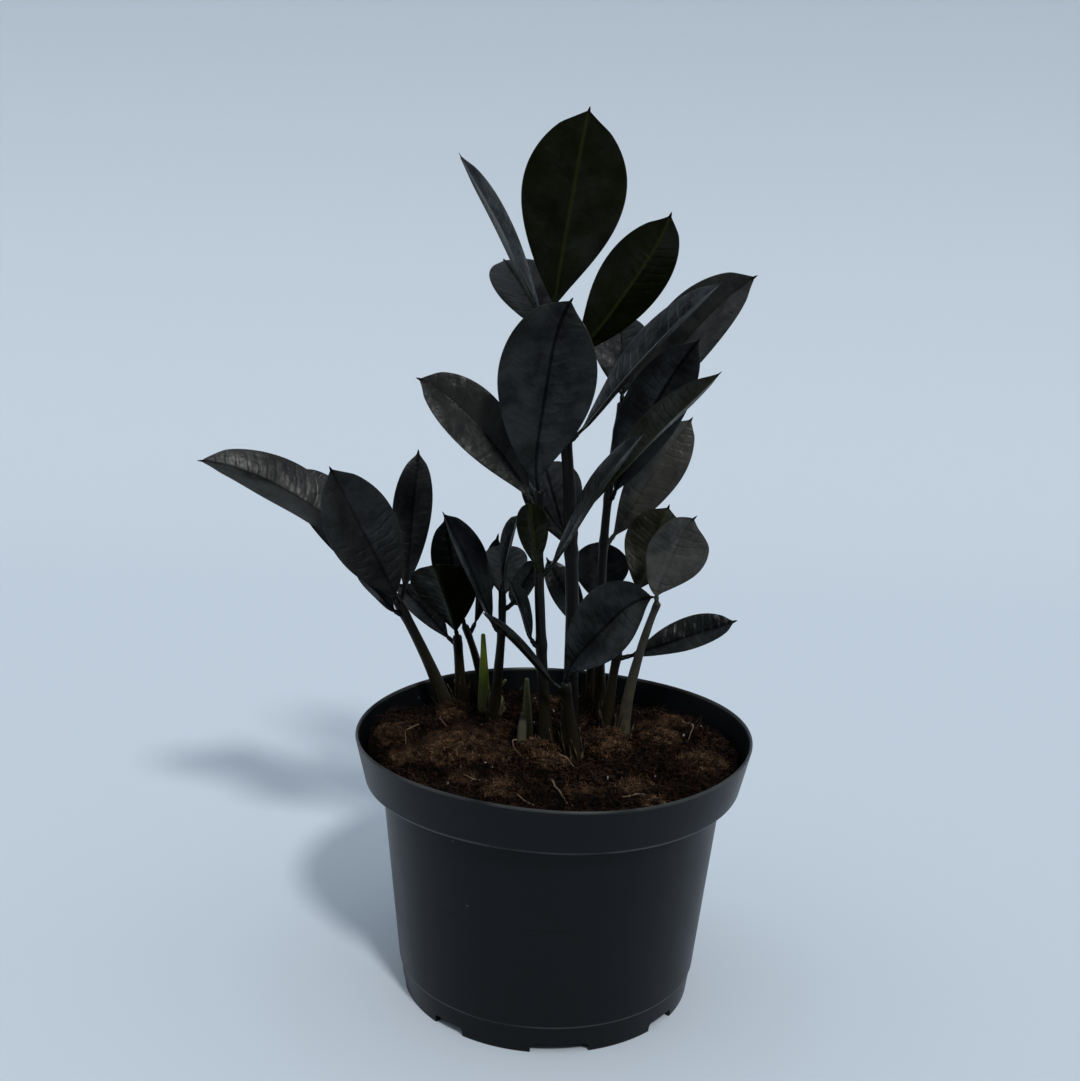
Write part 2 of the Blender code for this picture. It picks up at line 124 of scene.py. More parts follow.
# Soil
SOIL_RINGS = 84
SOIL_SIDES = 210
SHOULDER_DROP = 0.0015  # from the soil's level down to where its outline is read
SOIL_SIDE_ROWS = 9
PATCH_STEP = 0.0016
CRUMB_FACES = 1  # subdivisions of a crumb's ball
CLOD_FACES = 4


# --- Reading the solids ------------------------------------------------------------------------------------


solids_read = {}


def read_node(name):
    """(points, triangles) of a solid, with its doubled corners merged."""
    if name not in solids_read:
        shape = bmesh.new()
        shape.from_mesh(NODES[name].data)
        bmesh.ops.remove_doubles(shape, verts=shape.verts, dist=MERGE)
        bmesh.ops.triangulate(shape, faces=shape.faces)
        shape.verts.index_update()
        points = np.array([corner.co[:] for corner in shape.verts])
        faces = np.array([[corner.index for corner in face.verts] for face in shape.faces])
        shape.free()
        solids_read[name] = points, faces
    return solids_read[name]


def search_tree(name):
    points, faces = read_node(name)
    return BVHTree.FromPolygons(points.tolist(), faces.tolist())


def section(name, origin, normal):
    """The short lines in which a plane cuts a solid, as pairs of points."""
    points, faces = read_node(name)
    height = (points - origin) @ normal
    height = np.where(np.abs(height) < TINY, TINY, height)
    lines = []
    for face in faces[np.ptp(np.sign(height[faces]), axis=1) > 0]:
        ends = []
        for first, second in ((0, 1), (1, 2), (2, 0)):
            a, b = height[face[first]], height[face[second]]
            if a * b < 0:
                share = a / (a - b)
                ends.append(points[face[first]] * (1 - share) + points[face[second]] * share)
        lines.append(ends)
    return np.array(lines)


def unit(vector):
    return vector / max(np.linalg.norm(vector), TINY)


def smooth(value):
    value = np.clip(value, 0.0, 1.0)
    return value * value * (3 - 2 * value)


# --- Making meshes -----------------------------------------------------------------------------------------


def link(obj):
    bpy.context.scene.collection.objects.link(obj)
    return obj


def skin(name, rows, material, marks=None):
    """A closed mesh through rings of points, with fans at its ends. marks has a value or vector a point."""
    rows = np.asarray(rows, float)
    count, around = rows.shape[:2]
    points = rows.reshape(-1, 3)
    low, high = rows[0].mean(0), rows[-1].mean(0)
    points = np.concatenate([points, [low, high]])
    step = np.arange(around)
    after = (step + 1) % around
    faces = []
    for row in range(count - 1):
        here, there = row * around, (row + 1) * around
        faces += np.stack([here + step, here + after, there + after, there + step], 1).tolist()
    last = (count - 1) * around
    faces += [[count * around, b, a] for a, b in zip(step.tolist(), after.tolist())]
    faces += [[count * around + 1, last + a, last + b] for a, b in zip(step.tolist(), after.tolist())]
    mesh = bpy.data.meshes.new(name)
    mesh.from_pydata(points.tolist(), [], faces)
    triangles = np.array([face[:3] for face in faces] + [[f[0], f[2], f[3]] for f in faces if len(f) == 4])
    if np.linalg.det(points[triangles] - points.mean(0)).sum() < 0:
        mesh.flip_normals()
    for mark, values in (marks or {}).items():
        values = np.asarray(values, float)
        wide = values.ndim == 3
        flat = values.reshape(count * around, -1)
        flat = np.concatenate([flat, flat[:around].mean(0)[None], flat[last:].mean(0)[None]])
        layer = mesh.attributes.new(mark, "FLOAT_VECTOR" if wide else "FLOAT", "POINT")
        layer.data.foreach_set("vector" if wide else "value", flat.ravel().astype(np.float32))
    mesh.polygons.foreach_set("use_smooth", [True] * len(mesh.polygons))
    mesh.materials.append(material)
    mesh.validate()
    return link(bpy.data.objects.new(name, mesh))


def tube(name, line, radii, sides, material, marks=None):
    """A round tube along a line, with its rings kept from turning."""
    line = np.asarray(line, float)
    ways = np.gradient(line, axis=0)
    ways /= np.linalg.norm(ways, axis=1)[:, None]
    first = unit(np.cross(ways[0], (0.31, 0.95, 0.05)))
    turns = np.arange(sides) * math.tau / sides
    rows = []
    for place, way, radius in zip(line, ways, radii):
        first = unit(first - way * (first @ way))
        second = np.cross(way, first)
        rows.append([place + (first * math.cos(t) + second * math.sin(t)) * radius for t in turns])
    return skin(name, rows, material, marks)


def finished(name, shape, material, smoothed=True):
    """An object made of a shape, which is used up."""
    mesh = bpy.data.meshes.new(name)
    shape.to_mesh(mesh)
    shape.free()
    mesh.materials.append(material)
    mesh.polygons.foreach_set("use_smooth", [smoothed] * len(mesh.polygons))
    return link(bpy.data.objects.new(name, mesh))


def join(name, pieces):
    """One object from several that share a material, with their places kept."""
    shape = bmesh.new()
    material = pieces[0].data.materials[0]
    for piece in pieces:
        shape.from_mesh(piece.data)
        drop(piece)
    return finished(name, shape, material)


def drop(obj):
    mesh = obj.data
    bpy.data.objects.remove(obj)
    if mesh.users == 0:
        bpy.data.meshes.remove(mesh)


def baked(name, obj):
    """A plain copy of what an object's modifiers make."""
    bpy.context.view_layer.update()
    graph = bpy.context.evaluated_depsgraph_get()
    mesh = bpy.data.meshes.new_from_object(obj.evaluated_get(graph))
    mesh.name = name
    drop(obj)
    return link(bpy.data.objects.new(name, mesh))


# --- Building node trees -----------------------------------------------------------------------------------


class Nodes:
    """A short way to fill a node tree: an input that is a socket is linked, and any other is a value."""

    def __init__(self, tree):
        self.tree = tree

    def add(self, kind, inputs=None, **settings):
        node = self.tree.nodes.new(kind)
        for key, value in settings.items():
            setattr(node, key, value)
        for key, value in (inputs or {}).items():
            if isinstance(value, bpy.types.NodeSocket):
                self.tree.links.new(value, node.inputs[key])
            else:
                node.inputs[key].default_value = value
        return node

    def math(self, operation, first, second=0.0):
        return self.add("ShaderNodeMath", {0: first, 1: second}, operation=operation).outputs[0]

    def times(self, first, second):
        return self.math("MULTIPLY", first, second)

    def plus(self, first, second):
        return self.math("ADD", first, second)

    def minus(self, first, second):
        return self.math("SUBTRACT", first, second)

    def varied(self, value, cloud, swing):
        """A value that a noise moves up and down."""
        return self.plus(value, self.times(self.minus(cloud, 0.5), swing))

    def mix(self, share, first, second):
        return self.add("ShaderNodeMix", {0: share, 6: first, 7: second}, data_type="RGBA").outputs[2]

    def laid(self, shade, rgb, mask, strength):
        """A shade with a colour laid over it where the mask is high."""
        return self.mix(self.times(mask, strength), shade, colour(rgb))

    def split(self, vector):
        return self.add("ShaderNodeSeparateXYZ", {0: vector}).outputs

    def between(self, value, low, high):
        """0 at low, 1 at high and smooth between them."""
        inputs = {0: value, 1: low, 2: high}
        return self.add("ShaderNodeMapRange", inputs, interpolation_type="SMOOTHSTEP").outputs[0]

    def noise(self, place, scale, detail=2.0, roughness=0.5):
        inputs = {"Vector": place, "Scale": scale, "Detail": detail, "Roughness": roughness}
        return self.add("ShaderNodeTexNoise", inputs).outputs[0]

    def mark(self, name):
        return self.add("ShaderNodeAttribute", attribute_name=name)

    def bump(self, height, depth, normal=None):
        inputs = {"Height": height, "Distance": depth, "Strength": 1.0}
        if normal is not None:
            inputs["Normal"] = normal
        return self.add("ShaderNodeBump", inputs).outputs[0]


def colour(rgb):
    return (*rgb, 1.0)


def scaled(rgb, share):
    return [share * value for value in rgb]


def new_group(name, kind, inputs, outputs):
    """A node group with its named sockets, its kit, and its input and output nodes."""
    tree = bpy.data.node_groups.new(name, kind)
    for label, socket, default in inputs:
        made = tree.interface.new_socket(label, in_out="INPUT", socket_type=socket)
        if default is not None:
            made.default_value = default
    for label, socket in outputs:
        tree.interface.new_socket(label, in_out="OUTPUT", socket_type=socket)
    kit = Nodes(tree)
    return tree, kit, kit.add("NodeGroupInput").outputs, kit.add("NodeGroupOutput").inputs


def grain_group():
    """The normal of a finely uneven surface."""
    inputs = (("Place", "NodeSocketVector", None), ("Scale", "NodeSocketFloat", 400.0),
              ("Depth", "NodeSocketFloat", 0.0001))
    tree, kit, given, out = new_group("Grain", "ShaderNodeTree", inputs, (("Normal", "NodeSocketVector"),))
    fine = kit.noise(given["Place"], given["Scale"], 4.0, 0.6)
    broad = kit.noise(given["Place"], kit.times(given["Scale"], 0.13), 3.0)
    kit.tree.links.new(kit.bump(kit.plus(fine, kit.times(broad, 1.5)), given["Depth"]), out["Normal"])
    return tree


def speck_group():
    """Scattered round specks: a mask that is 1 inside them."""
    inputs = (("Place", "NodeSocketVector", None), ("Scale", "NodeSocketFloat", 120.0),
              ("Size", "NodeSocketFloat", 0.12), ("Share", "NodeSocketFloat", 0.2))
    tree, kit, given, out = new_group("Specks", "ShaderNodeTree", inputs, (("Mask", "NodeSocketFloat"),))
    cells = kit.add("ShaderNodeTexVoronoi", {"Vector": given["Place"], "Scale": given["Scale"]}).outputs
    near = kit.math("LESS_THAN", cells["Distance"], given["Size"])
    chance = kit.add("ShaderNodeSeparateColor", {0: cells["Color"]}).outputs[0]
    kept = kit.math("LESS_THAN", chance, given["Share"])
    kit.tree.links.new(kit.times(near, kept), out["Mask"])
    return tree


def group_of(name, build):
    """The group of that name, built the first time it is asked for."""
    return bpy.data.node_groups.get(name) or build()


def new_material(name):
    """A material with its kit, its Principled shader and the object's own coordinates."""
    material = bpy.data.materials.new(name)
    material.use_nodes = True
    kit = Nodes(material.node_tree)
    shader = material.node_tree.nodes["Principled BSDF"]
    place = kit.add("ShaderNodeTexCoord").outputs["Object"]
    return material, kit, shader, place


def feed(kit, shader, **inputs):
    """Sets or links a shader's inputs, named with underscores for spaces."""
    for key, value in inputs.items():
        socket = shader.inputs[key.replace("_", " ")]
        if isinstance(value, bpy.types.NodeSocket):
            kit.tree.links.new(value, socket)
        else:
            socket.default_value = value


def specks(kit, place, scale, size, share):
    """The mask of the specks scattered over a surface."""
    node = kit.add("ShaderNodeGroup", node_tree=group_of("Specks", speck_group))
    feed(kit, node, Place=place, Scale=scale, Size=size, Share=share)
    return node.outputs["Mask"]


# --- Materials ---------------------------------------------------------------------------------------------


def pot_material(look):
    """Black plastic with a painted highlight on its outer edges, a few scuffs and specks, and a faint line
    round the wall.
    """
    material, kit, shader, place = new_material("Black plastic")
    grain = kit.add("ShaderNodeGroup", node_tree=group_of("Grain", grain_group))
    feed(kit, grain, Place=place, Scale=900.0, Depth=0.00002)
    cloud = kit.noise(place, 26.0, 3.0)
    stretched = kit.add("ShaderNodeMapping", {"Vector": place, "Scale": (7.0, 7.0, 90.0)}).outputs[0]
    scuff = kit.between(kit.noise(stretched, 5.0, 6.0, 0.7), 0.63, 0.74)
    scuff = kit.times(scuff, kit.between(kit.noise(place, 16.0, 2.0), 0.50, 0.66))
    # Painted highlight: the outer corners of the profile, broken up by the noise, are lightened as if they
    # caught the light.
    worn = kit.times(kit.mark("worn").outputs["Fac"], kit.between(cloud, 0.25, 0.6))
    away = kit.math("ABSOLUTE", kit.minus(kit.split(place)[2], POT_HIGH[2] * SEAM_HEIGHT))
    seam = kit.times(kit.between(away, 0.0006, 0.0002), kit.between(kit.noise(place, 30.0, 2.0), 0.50, 0.62))
    shade = kit.laid(colour(look.plastic), (0.001, 0.001, 0.001), seam, 0.8)
    shade = kit.laid(shade, look.worn, scuff, 0.12)
    # Lays the painted edge highlight over the plastic.
    shade = kit.laid(shade, look.worn, worn, 0.75)
    shade = kit.laid(shade, (0.16, 0.15, 0.14), specks(kit, place, 150.0, 0.07, 0.05), 0.35)
    rough = kit.plus(kit.varied(look.roughness, cloud, 0.20), kit.times(scuff, 0.12))
    feed(kit, shader, Base_Color=shade, Roughness=rough, Normal=grain.outputs["Normal"], IOR=1.49,
         Specular_IOR_Level=look.gloss)
    return material


def earth_material(name, dark, light, roughness=0.95, scale=420.0, depth=0.0008):
    """Crumbly stuff: patches of two colours, with painted shade that darkens the hollows of its bump towards
    black.
    """
    material, kit, shader, place = new_material(name)
    broad = kit.noise(place, scale * 0.2, 4.0, 0.6)
    fine = kit.noise(place, scale, 6.0, 0.65)
    shade = kit.mix(kit.between(broad, 0.36, 0.66), colour(dark), colour(light))
    # Painted shade: where the fine noise is low, which is where the bump sinks, the colour is darkened
    # towards black.
    shade = kit.mix(kit.between(fine, 0.30, 0.75), kit.mix(0.6, shade, colour((0.0, 0.0, 0.0))), shade)
    feed(kit, shader, Base_Color=shade, Roughness=roughness, Specular_IOR_Level=0.04,
         Normal=kit.bump(fine, depth))
    return material


def strand_material(name, dark, light, roughness=0.7):
    """Fibres and roots: the colour wanders from strand to strand and along each one."""
    material, kit, shader, place = new_material(name)
    wander = kit.noise(place, 330.0, 4.0, 0.65)
    broad = kit.noise(place, 45.0, 3.0)
    share = kit.times(kit.between(wander, 0.40, 0.68), kit.between(broad, 0.34, 0.62))
    shade = kit.mix(share, colour(dark), colour(light))
    feed(kit, shader, Base_Color=shade, Roughness=roughness, Specular_IOR_Level=0.08)
    return material


def leaf_material(look):
    """Near-black above and olive below, with a dark midrib, slanting side veins, a painted sheen towards the
    edges, a pale grey painted sheen on the listed leaflets and a thin painted highlight along the margin.
    """
    material, kit, shader, place = new_material("Leaf")
    aside, along, side = kit.split(kit.mark("blade").outputs["Vector"])
    out, on, _ = kit.split(kit.mark("run").outputs["Vector"])
    tone = kit.mark("tone").outputs["Fac"]
    across, upper = kit.math("ABSOLUTE", aside), kit.between(side, 0.35, 0.65)
    out = kit.math("ABSOLUTE", out)
    slanted = kit.minus(on, kit.times(kit.math("POWER", out, 1.15), VEIN_SLANT))
    slanted = kit.plus(slanted, kit.times(kit.noise(place, 55.0, 3.0), 0.009))
    wave = kit.math("SINE", kit.times(slanted, math.tau / VEIN_SPACING))
    veins = kit.times(kit.between(wave, 0.2, 1.0), kit.between(across, 0.98, 0.70))
    veins = kit.times(veins, kit.between(kit.noise(place, 38.0, 2.0), 0.35, 0.6))
    rib = kit.between(out, 0.0010, 0.0004)
    cloud = kit.noise(place, 52.0, 5.0, 0.62)
    broad = kit.noise(place, 19.0, 2.0)
    top = kit.mix(kit.between(broad, 0.40, 0.60), colour(look.upper), colour(look.upper_green))
    top = kit.mix(kit.between(cloud, 0.46, 0.60), top, colour(scaled(look.upper, 0.35)))
    # Painted sheen: a paler grey laid over the upper side towards the edges, in patches, as if the blade
    # caught the light there.
    painted_sheen_and_veins = kit.times(kit.between(across, 0.15, 1.0), kit.between(cloud, 0.36, 0.62))
    top = kit.laid(top, look.painted_sheen_and_veins, painted_sheen_and_veins, 0.5)
    top = kit.laid(top, look.painted_sheen_and_veins, veins, 0.16)
    top = kit.laid(top, scaled(look.upper, 0.2), rib, 0.75)
    below = kit.mix(kit.between(cloud, 0.35, 0.7), colour(look.under), colour(scaled(look.under, 0.5)))
    below = kit.laid(below, scaled(look.under, 3.0), rib, 0.7)
    shade = kit.mix(upper, below, top)
    # Painted sheen on the listed leaflets: a pale grey laid over them in patches, as strongly as their tone
    # says.
    shade = kit.mix(tone, shade, kit.mix(kit.between(cloud, 0.75, 0.3), shade, colour(look.painted_sheen_grey)))
    # Painted highlight: a thin pale line along the margin.
    edge = kit.times(kit.between(across, 0.965, 1.0), kit.between(along, 0.02, 0.10))
    shade = kit.laid(shade, (0.035, 0.038, 0.036), edge, 0.35)
    shade = kit.laid(shade, (0.003, 0.003, 0.0025), kit.between(along, 0.975, 0.995), 0.9)
    shade = kit.laid(shade, (0.12, 0.12, 0.11), specks(kit, place, 200.0, 0.06, 0.04), 0.25)
    rough = kit.plus(kit.varied(look.roughness, cloud, 0.45), kit.times(tone, 0.1))
    normal = kit.bump(kit.noise(place, 600.0, 3.0, 0.6), 0.00005)
    normal = kit.bump(veins, -0.00015, normal)
    normal = kit.bump(kit.noise(place, 85.0, 3.0), 0.0016, normal)
    patch = kit.between(kit.noise(place, 75.0, 4.0, 0.6), 0.38, 0.62)
    mirror = kit.times(look.gloss, kit.plus(0.35, kit.times(upper, 0.65)))
    mirror = kit.times(mirror, kit.plus(0.55, patch))
    mirror = kit.times(mirror, kit.minus(1.0, kit.times(rib, 0.7)))
    feed(kit, shader, Base_Color=shade, Roughness=rough, Normal=normal, IOR=1.45, Specular_IOR_Level=mirror)
    return material


def stem_material(name, foot, top, speckle, roughness=0.45, shift=0.05):
    """A stem's skin: one colour at the foot, another higher up, with speckles and dark rings at joints."""
    material, kit, shader, place = new_material(name)
    _, rise, joint = kit.split(kit.mark("stem").outputs["Vector"])
    cloud = kit.noise(place, 130.0, 4.0, 0.65)
    shade = kit.mix(kit.between(kit.varied(rise, cloud, 0.02), 0.0, shift), colour(foot), colour(top))
    shade = kit.laid(shade, speckle, kit.between(cloud, 0.5, 0.7), 0.5)
    shade = kit.laid(shade, (0.004, 0.0035, 0.003), joint, 0.75)
    feed(kit, shader, Base_Color=shade, Roughness=kit.varied(roughness, cloud, 0.2),
         Normal=kit.bump(cloud, 0.00018), Specular_IOR_Level=0.16)
    return material


# --- Pot ---------------------------------------------------------------------------------------------------


def polar(angle):
    return np.array((math.cos(angle), math.sin(angle), 0.0))


def cast(tree, origin, way):
    """How far a ray runs to the solid, or None."""
    return tree.ray_cast(Vector(origin), Vector(way))[3]


def reach_at(tree, angle, height, outside=0.2):
    """The solid's outer radius at an angle and a height, seen from outside."""
    start = polar(angle) * outside
    start[2] = height
    found = cast(tree, start, -polar(angle))
    return None if found is None else outside - found


class RimWarp:
    """How the pot's rim departs from a flat circle, as a few waves round it, read from the solid."""

    WAVES = (1, 2, 3)

    def __init__(self, tree):
        angles = np.arange(RIM_SAMPLES) * math.tau / RIM_SAMPLES + 0.01
        top = POT_HIGH[2]
        reach = np.array([reach_at(tree, angle, top - RIM_DROP) for angle in angles])
        heights = []
        for angle, radius in zip(angles, reach):
            start = polar(angle) * (radius - LIP_INSET)
            start[2] = top + 0.05
            heights.append(start[2] - cast(tree, start, (0, 0, -1)))
        self.out = self.fit(angles, reach)
        self.up = self.fit(angles, np.array(heights))
        self.top = self.up[0]

    def terms(self, angles):
        waves = [np.ones_like(angles)]
        for wave in self.WAVES:
            waves += [np.cos(wave * angles), np.sin(wave * angles)]
        return np.stack(waves, -1)

    def fit(self, angles, values):
        return np.linalg.lstsq(self.terms(angles), values, rcond=None)[0]

    def shares(self, radius, height):
        return np.clip(height / self.top, 0, 1) * radius / self.out[0]

    def moved(self, radius, height, angles, back=False):
        """(radius, height) of a point at each angle, pushed with the rim, or back to the true circle."""
        sign = -1 if back else 1
        share = self.shares(radius, height)
        terms = self.terms(angles)[..., 1:]
        out, up = terms @ self.out[1:], terms @ self.up[1:]
        return radius + sign * share * out, height + sign * share**2 * up


def pot_section(angle):
    """The wall's section at one angle, as (radius, height) points from the middle of the underside round the
    outside, over the lip and back to the middle of the floor."""
    out = polar(angle)
    lines = section("pot", np.zeros(3), np.array((-out[1], out[0], 0.0)))
    flat = np.stack([lines @ out, lines[..., 2]], -1)
    flat = flat[(flat[..., 0] > -TINY).any(1)]
    for line in flat:
        for index in (0, 1):
            if line[index][0] < 0:
                share = line[index][0] / (line[index][0] - line[1 - index][0])
                line[index] = line[index] * (1 - share) + line[1 - index] * share
    ends = {}
    for line in flat:
        keys = [tuple(np.round(point, 6) + 0.0) for point in line]
        if keys[0] != keys[1]:
            ends.setdefault(keys[0], []).append(keys[1])
            ends.setdefault(keys[1], []).append(keys[0])
    start = min((key for key in ends if key[0] < MERGE), key=lambda key: key[1])
    path, last = [start], None
    while True:
        onward = [key for key in ends[path[-1]] if key != last]
        if not onward or onward[0] == start:
            break
        last = path[-1]
        path.append(onward[0])
    return np.array(path)


def straightened(path, turn=2.0):
    """The path without the points at which it hardly turns."""
    kept = [path[0]]
    for index in range(1, len(path) - 1):
        first, second = unit(path[index] - kept[-1]), unit(path[index + 1] - path[index])
        if first @ second < math.cos(math.radians(turn)):
            kept.append(path[index])
    kept.append(path[-1])
    return np.array(kept)


def rounded(path, radius, steps=3):
    """(points, edge marks) of the path with each sharp corner turned into a small arc. The edge marks are 1
    on the arcs of the corners that stick out, where the plastic gets a painted highlight."""
    made, worn = [path[0]], [0.0]
    for before, corner, after in zip(path, path[1:], path[2:]):
        back, on = before - corner, after - corner
        size = min(radius, 0.45 * np.linalg.norm(back), 0.45 * np.linalg.norm(on))
        if unit(back) @ unit(on) < -0.97:
            made.append(corner)
            worn.append(0.0)
            continue
        start, end = corner + unit(back) * size, corner + unit(on) * size
        sticks_out = back[1] * on[0] > back[0] * on[1]
        if np.linalg.norm(back) > 4 * size:
            made.append(corner + unit(back) * size * 1.5)
            worn.append(0.0)
        for index in range(steps + 1):
            share = index / steps
            made.append(start * (1 - share) ** 2 + corner * 2 * share * (1 - share) + end * share**2)
            worn.append(float(sticks_out))
        if np.linalg.norm(on) > 4 * size:
            made.append(corner + unit(on) * size * 1.5)
            worn.append(0.0)
    return np.array([*made, path[-1]]), np.array([*worn, 0.0])


def runs(flags):
    """(first, length) of each run of true flags round a circle."""
    count = len(flags)
    starts = [i for i in range(count) if flags[i] and not flags[i - 1]]
    return [(i, next(n for n in range(count) if not flags[(i + n) % count])) for i in starts]


def gaps_below(tree, radius, level):
    """The runs of scanning steps round a circle where the pot's underside is higher than a level."""
    starts = [(*(polar(i * SCAN_STEP) * radius)[:2], BELOW) for i in range(SCAN_STEPS)]
    reach = [cast(tree, start, (0, 0, 1)) for start in starts]
    return runs([distance is None or distance + BELOW > level for distance in reach])


def notch_cutter(index, tree, first, size, middle, material):
    """A block that cuts one notch of the foot ring, with its upper corners rounded."""
    start = polar((first + size / 2) * SCAN_STEP) * middle
    start[2] = BELOW
    height = cast(tree, start, (0, 0, 1)) + BELOW
    width = size * SCAN_STEP * middle
    inner, outer = middle - NOTCH_REACH, middle + NOTCH_REACH
    rows = []
    for share in np.linspace(0, 1, 15):
        corner = min(1.0, min(share, 1 - share) * width / NOTCH_CORNER)
        high = height - NOTCH_CORNER * (1 - math.sqrt(1 - (1 - corner) ** 2))
        out = polar((first + share * size) * SCAN_STEP)
        corners = ((inner, BELOW / 2), (outer, BELOW / 2), (outer, high), (inner, high))
        rows.append([out * reach + np.array((0, 0, level)) for reach, level in corners])
    return skin(f"notch cutter {index}", rows, material)


def hole_cutter(index, first, size, material):
    """A round bar that cuts one drainage hole."""
    middle = polar((first + size / 2) * SCAN_STEP) * HOLE_CIRCLE
    radius = size * SCAN_STEP * HOLE_CIRCLE / 2
    turns = np.arange(HOLE_SIDES) * math.tau / HOLE_SIDES
    ring = np.stack([middle[0] + radius * np.cos(turns), middle[1] + radius * np.sin(turns), 0 * turns], -1)
    rows = [ring + np.array((0, 0, level)) for level in (-0.005, 0.02)]
    return skin(f"hole cutter {index}", rows, material)


def cut(obj, cutters):
    for cutter in cutters:
        modifier = obj.modifiers.new(cutter.name, "BOOLEAN")
        modifier.operation = "DIFFERENCE"
        modifier.object = cutter
    made = baked(obj.name, obj)
    for cutter in cutters:
        drop(cutter)
    return made


def build_pot(look):
    material = pot_material(look)
    tree = search_tree("pot")
    warp = RimWarp(tree)
    foot = reach_at(tree, 0.0, FOOT_READ) - FOOT_RING_INSET
    notches = gaps_below(tree, foot, NOTCH_LEVEL)
    plain_angle = (notches[0][0] + notches[0][1] + notches[1][0]) / 2 * SCAN_STEP
    path = pot_section(plain_angle)
    path[:, 0], path[:, 1] = warp.moved(path[:, 0], path[:, 1], np.full(len(path), plain_angle), back=True)
    rim = path[path[:, 0] > 0.9 * path[:, 0].max()]
    path[:, 0] *= warp.out[0] / np.interp(warp.top - RIM_DROP, *np.sort(rim[:, ::-1].T))
    path, worn = rounded(straightened(path), POT_ROUNDING)
    path, worn = path[1:-1], worn[1:-1]
    angles = np.arange(POT_SIDES) * math.tau / POT_SIDES
    rows = []
    for radius, height in path:
        radii, heights = warp.moved(radius, height, angles)
        rows.append(np.stack([radii * np.cos(angles), radii * np.sin(angles), heights], -1))
    # The mark on each ring tells the plastic where its painted edge highlight goes.
    pot = skin("nursery_pot", rows, material, {"worn": np.repeat(worn[:, None], POT_SIDES, 1)})
    cutters = [notch_cutter(i, tree, *run, foot, material) for i, run in enumerate(notches)]
    holes = gaps_below(tree, HOLE_CIRCLE, HOLE_LEVEL)
    cutters += [hole_cutter(i, *run, material) for i, run in enumerate(holes)]
    pot = cut(pot, cutters)
    pot.data.set_sharp_from_angle(angle=math.radians(50))
    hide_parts("pot")
    return pot


# --- Soil --------------------------------------------------------------------------------------------------

# Lumps of coir: (X, Y, radius, height) with the height above the soil round them
CLODS = (
    (-0.042, -0.004, 0.0165, 0.0082), (-0.028, -0.010, 0.0095, 0.0062), (-0.055, -0.016, 0.0100, 0.0050),
    (-0.006, -0.004, 0.0090, 0.0066), (0.001, -0.013, 0.0066, 0.0042), (0.024, 0.008, 0.0112, 0.0072),
    (0.067, -0.010, 0.0100, 0.0052), (0.058, -0.017, 0.0070, 0.0038), (-0.071, -0.006, 0.0078, 0.0050),
    (-0.064, -0.020, 0.0080, 0.0042), (-0.049, 0.036, 0.0080, 0.0050), (0.036, -0.033, 0.0085, 0.0036),
    (0.014, -0.042, 0.0078, 0.0030), (-0.020, -0.046, 0.0090, 0.0032), (0.050, 0.018, 0.0085, 0.0040),
    (0.056, 0.040, 0.0080, 0.0044), (-0.006, 0.060, 0.0080, 0.0034), (0.042, -0.050, 0.0060, 0.0026),
    (-0.038, -0.032, 0.0075, 0.0030), (-0.026, 0.020, 0.0070, 0.0044), (0.044, 0.034, 0.0060, 0.0044),
)
# Pale roots lying on the soil: the places they pass, as (X, Y, height above the soil), then their radius
ROOTS = (
    (((0.000, -0.034, 0.0012), (0.004, -0.046, 0.0022), (0.007, -0.056, 0.0014), (0.010, -0.069, 0.0008)),
     0.00042),
    (((0.002, -0.010, 0.0020), (0.006, -0.014, 0.0026), (0.009, -0.021, 0.0008)), 0.00036),
    (((-0.017, 0.009, 0.0030), (-0.018, -0.002, 0.0045), (-0.014, -0.011, 0.0012)), 0.00034),
    (((0.061, 0.040, 0.0020), (0.066, 0.028, 0.0032), (0.063, 0.018, 0.0008)), 0.00034),
    (((-0.016, -0.050, 0.0010), (-0.013, -0.056, 0.0020), (-0.007, -0.061, 0.0006)), 0.00032),
    (((-0.053, 0.024, 0.0022), (-0.052, 0.012, 0.0042), (-0.046, 0.004, 0.0030)), 0.00034),
    (((-0.061, 0.000, 0.0036), (-0.066, -0.010, 0.0034), (-0.064, -0.019, 0.0008)), 0.00032),
    (((0.030, -0.050, 0.0010), (0.038, -0.046, 0.0020), (0.047, -0.049, 0.0006)), 0.00030),
    (((-0.040, -0.030, 0.0012), (-0.033, -0.038, 0.0022), (-0.028, -0.036, 0.0008)), 0.00030),
)


class Ground:
    """The soil's height and outer radius, read from its solid, with the sockets bridged."""

    DEEP = 0.004  # a ray that falls this far below the middle level has gone down a socket

    def __init__(self):
        self.tree = search_tree("soil")
        self.top = SOIL_HIGH[2]
        samples = [self.fall(*polar(turn)[:2] * reach) for turn in range(12) for reach in (0.03, 0.06)]
        self.level = float(np.median([height for height in samples if height is not None]))

    def fall(self, x, y):
        found = cast(self.tree, (x, y, self.top + 0.02), (0, 0, -1))
        return None if found is None else self.top + 0.02 - found

    def height(self, x, y):
        high = self.fall(x, y)
        if high is not None and high > self.level - self.DEEP:
            return high
        ring = [self.fall(*(np.array((x, y)) + polar(turn * math.tau / 9)[:2] * 0.0055)) for turn in range(9)]
        good = [value for value in ring if value is not None and value > self.level - self.DEEP]
        return sum(good) / len(good) if good else self.level

    def rough(self, x, y):
        """The height with lumps and crumbs worked into it."""
        lumps = noise.fractal(Vector((x, y, 0.31)) * 75, 0.8, 2.1, 4) * 0.0017
        ridges = abs(noise.noise(Vector((x, y, 0.5)) * 150)) * 0.0042 - 0.0012
        crumbs = noise.noise(Vector((x, y, 0.7)) * 520) * 0.0007
        return self.height(x, y) + lumps + ridges + crumbs


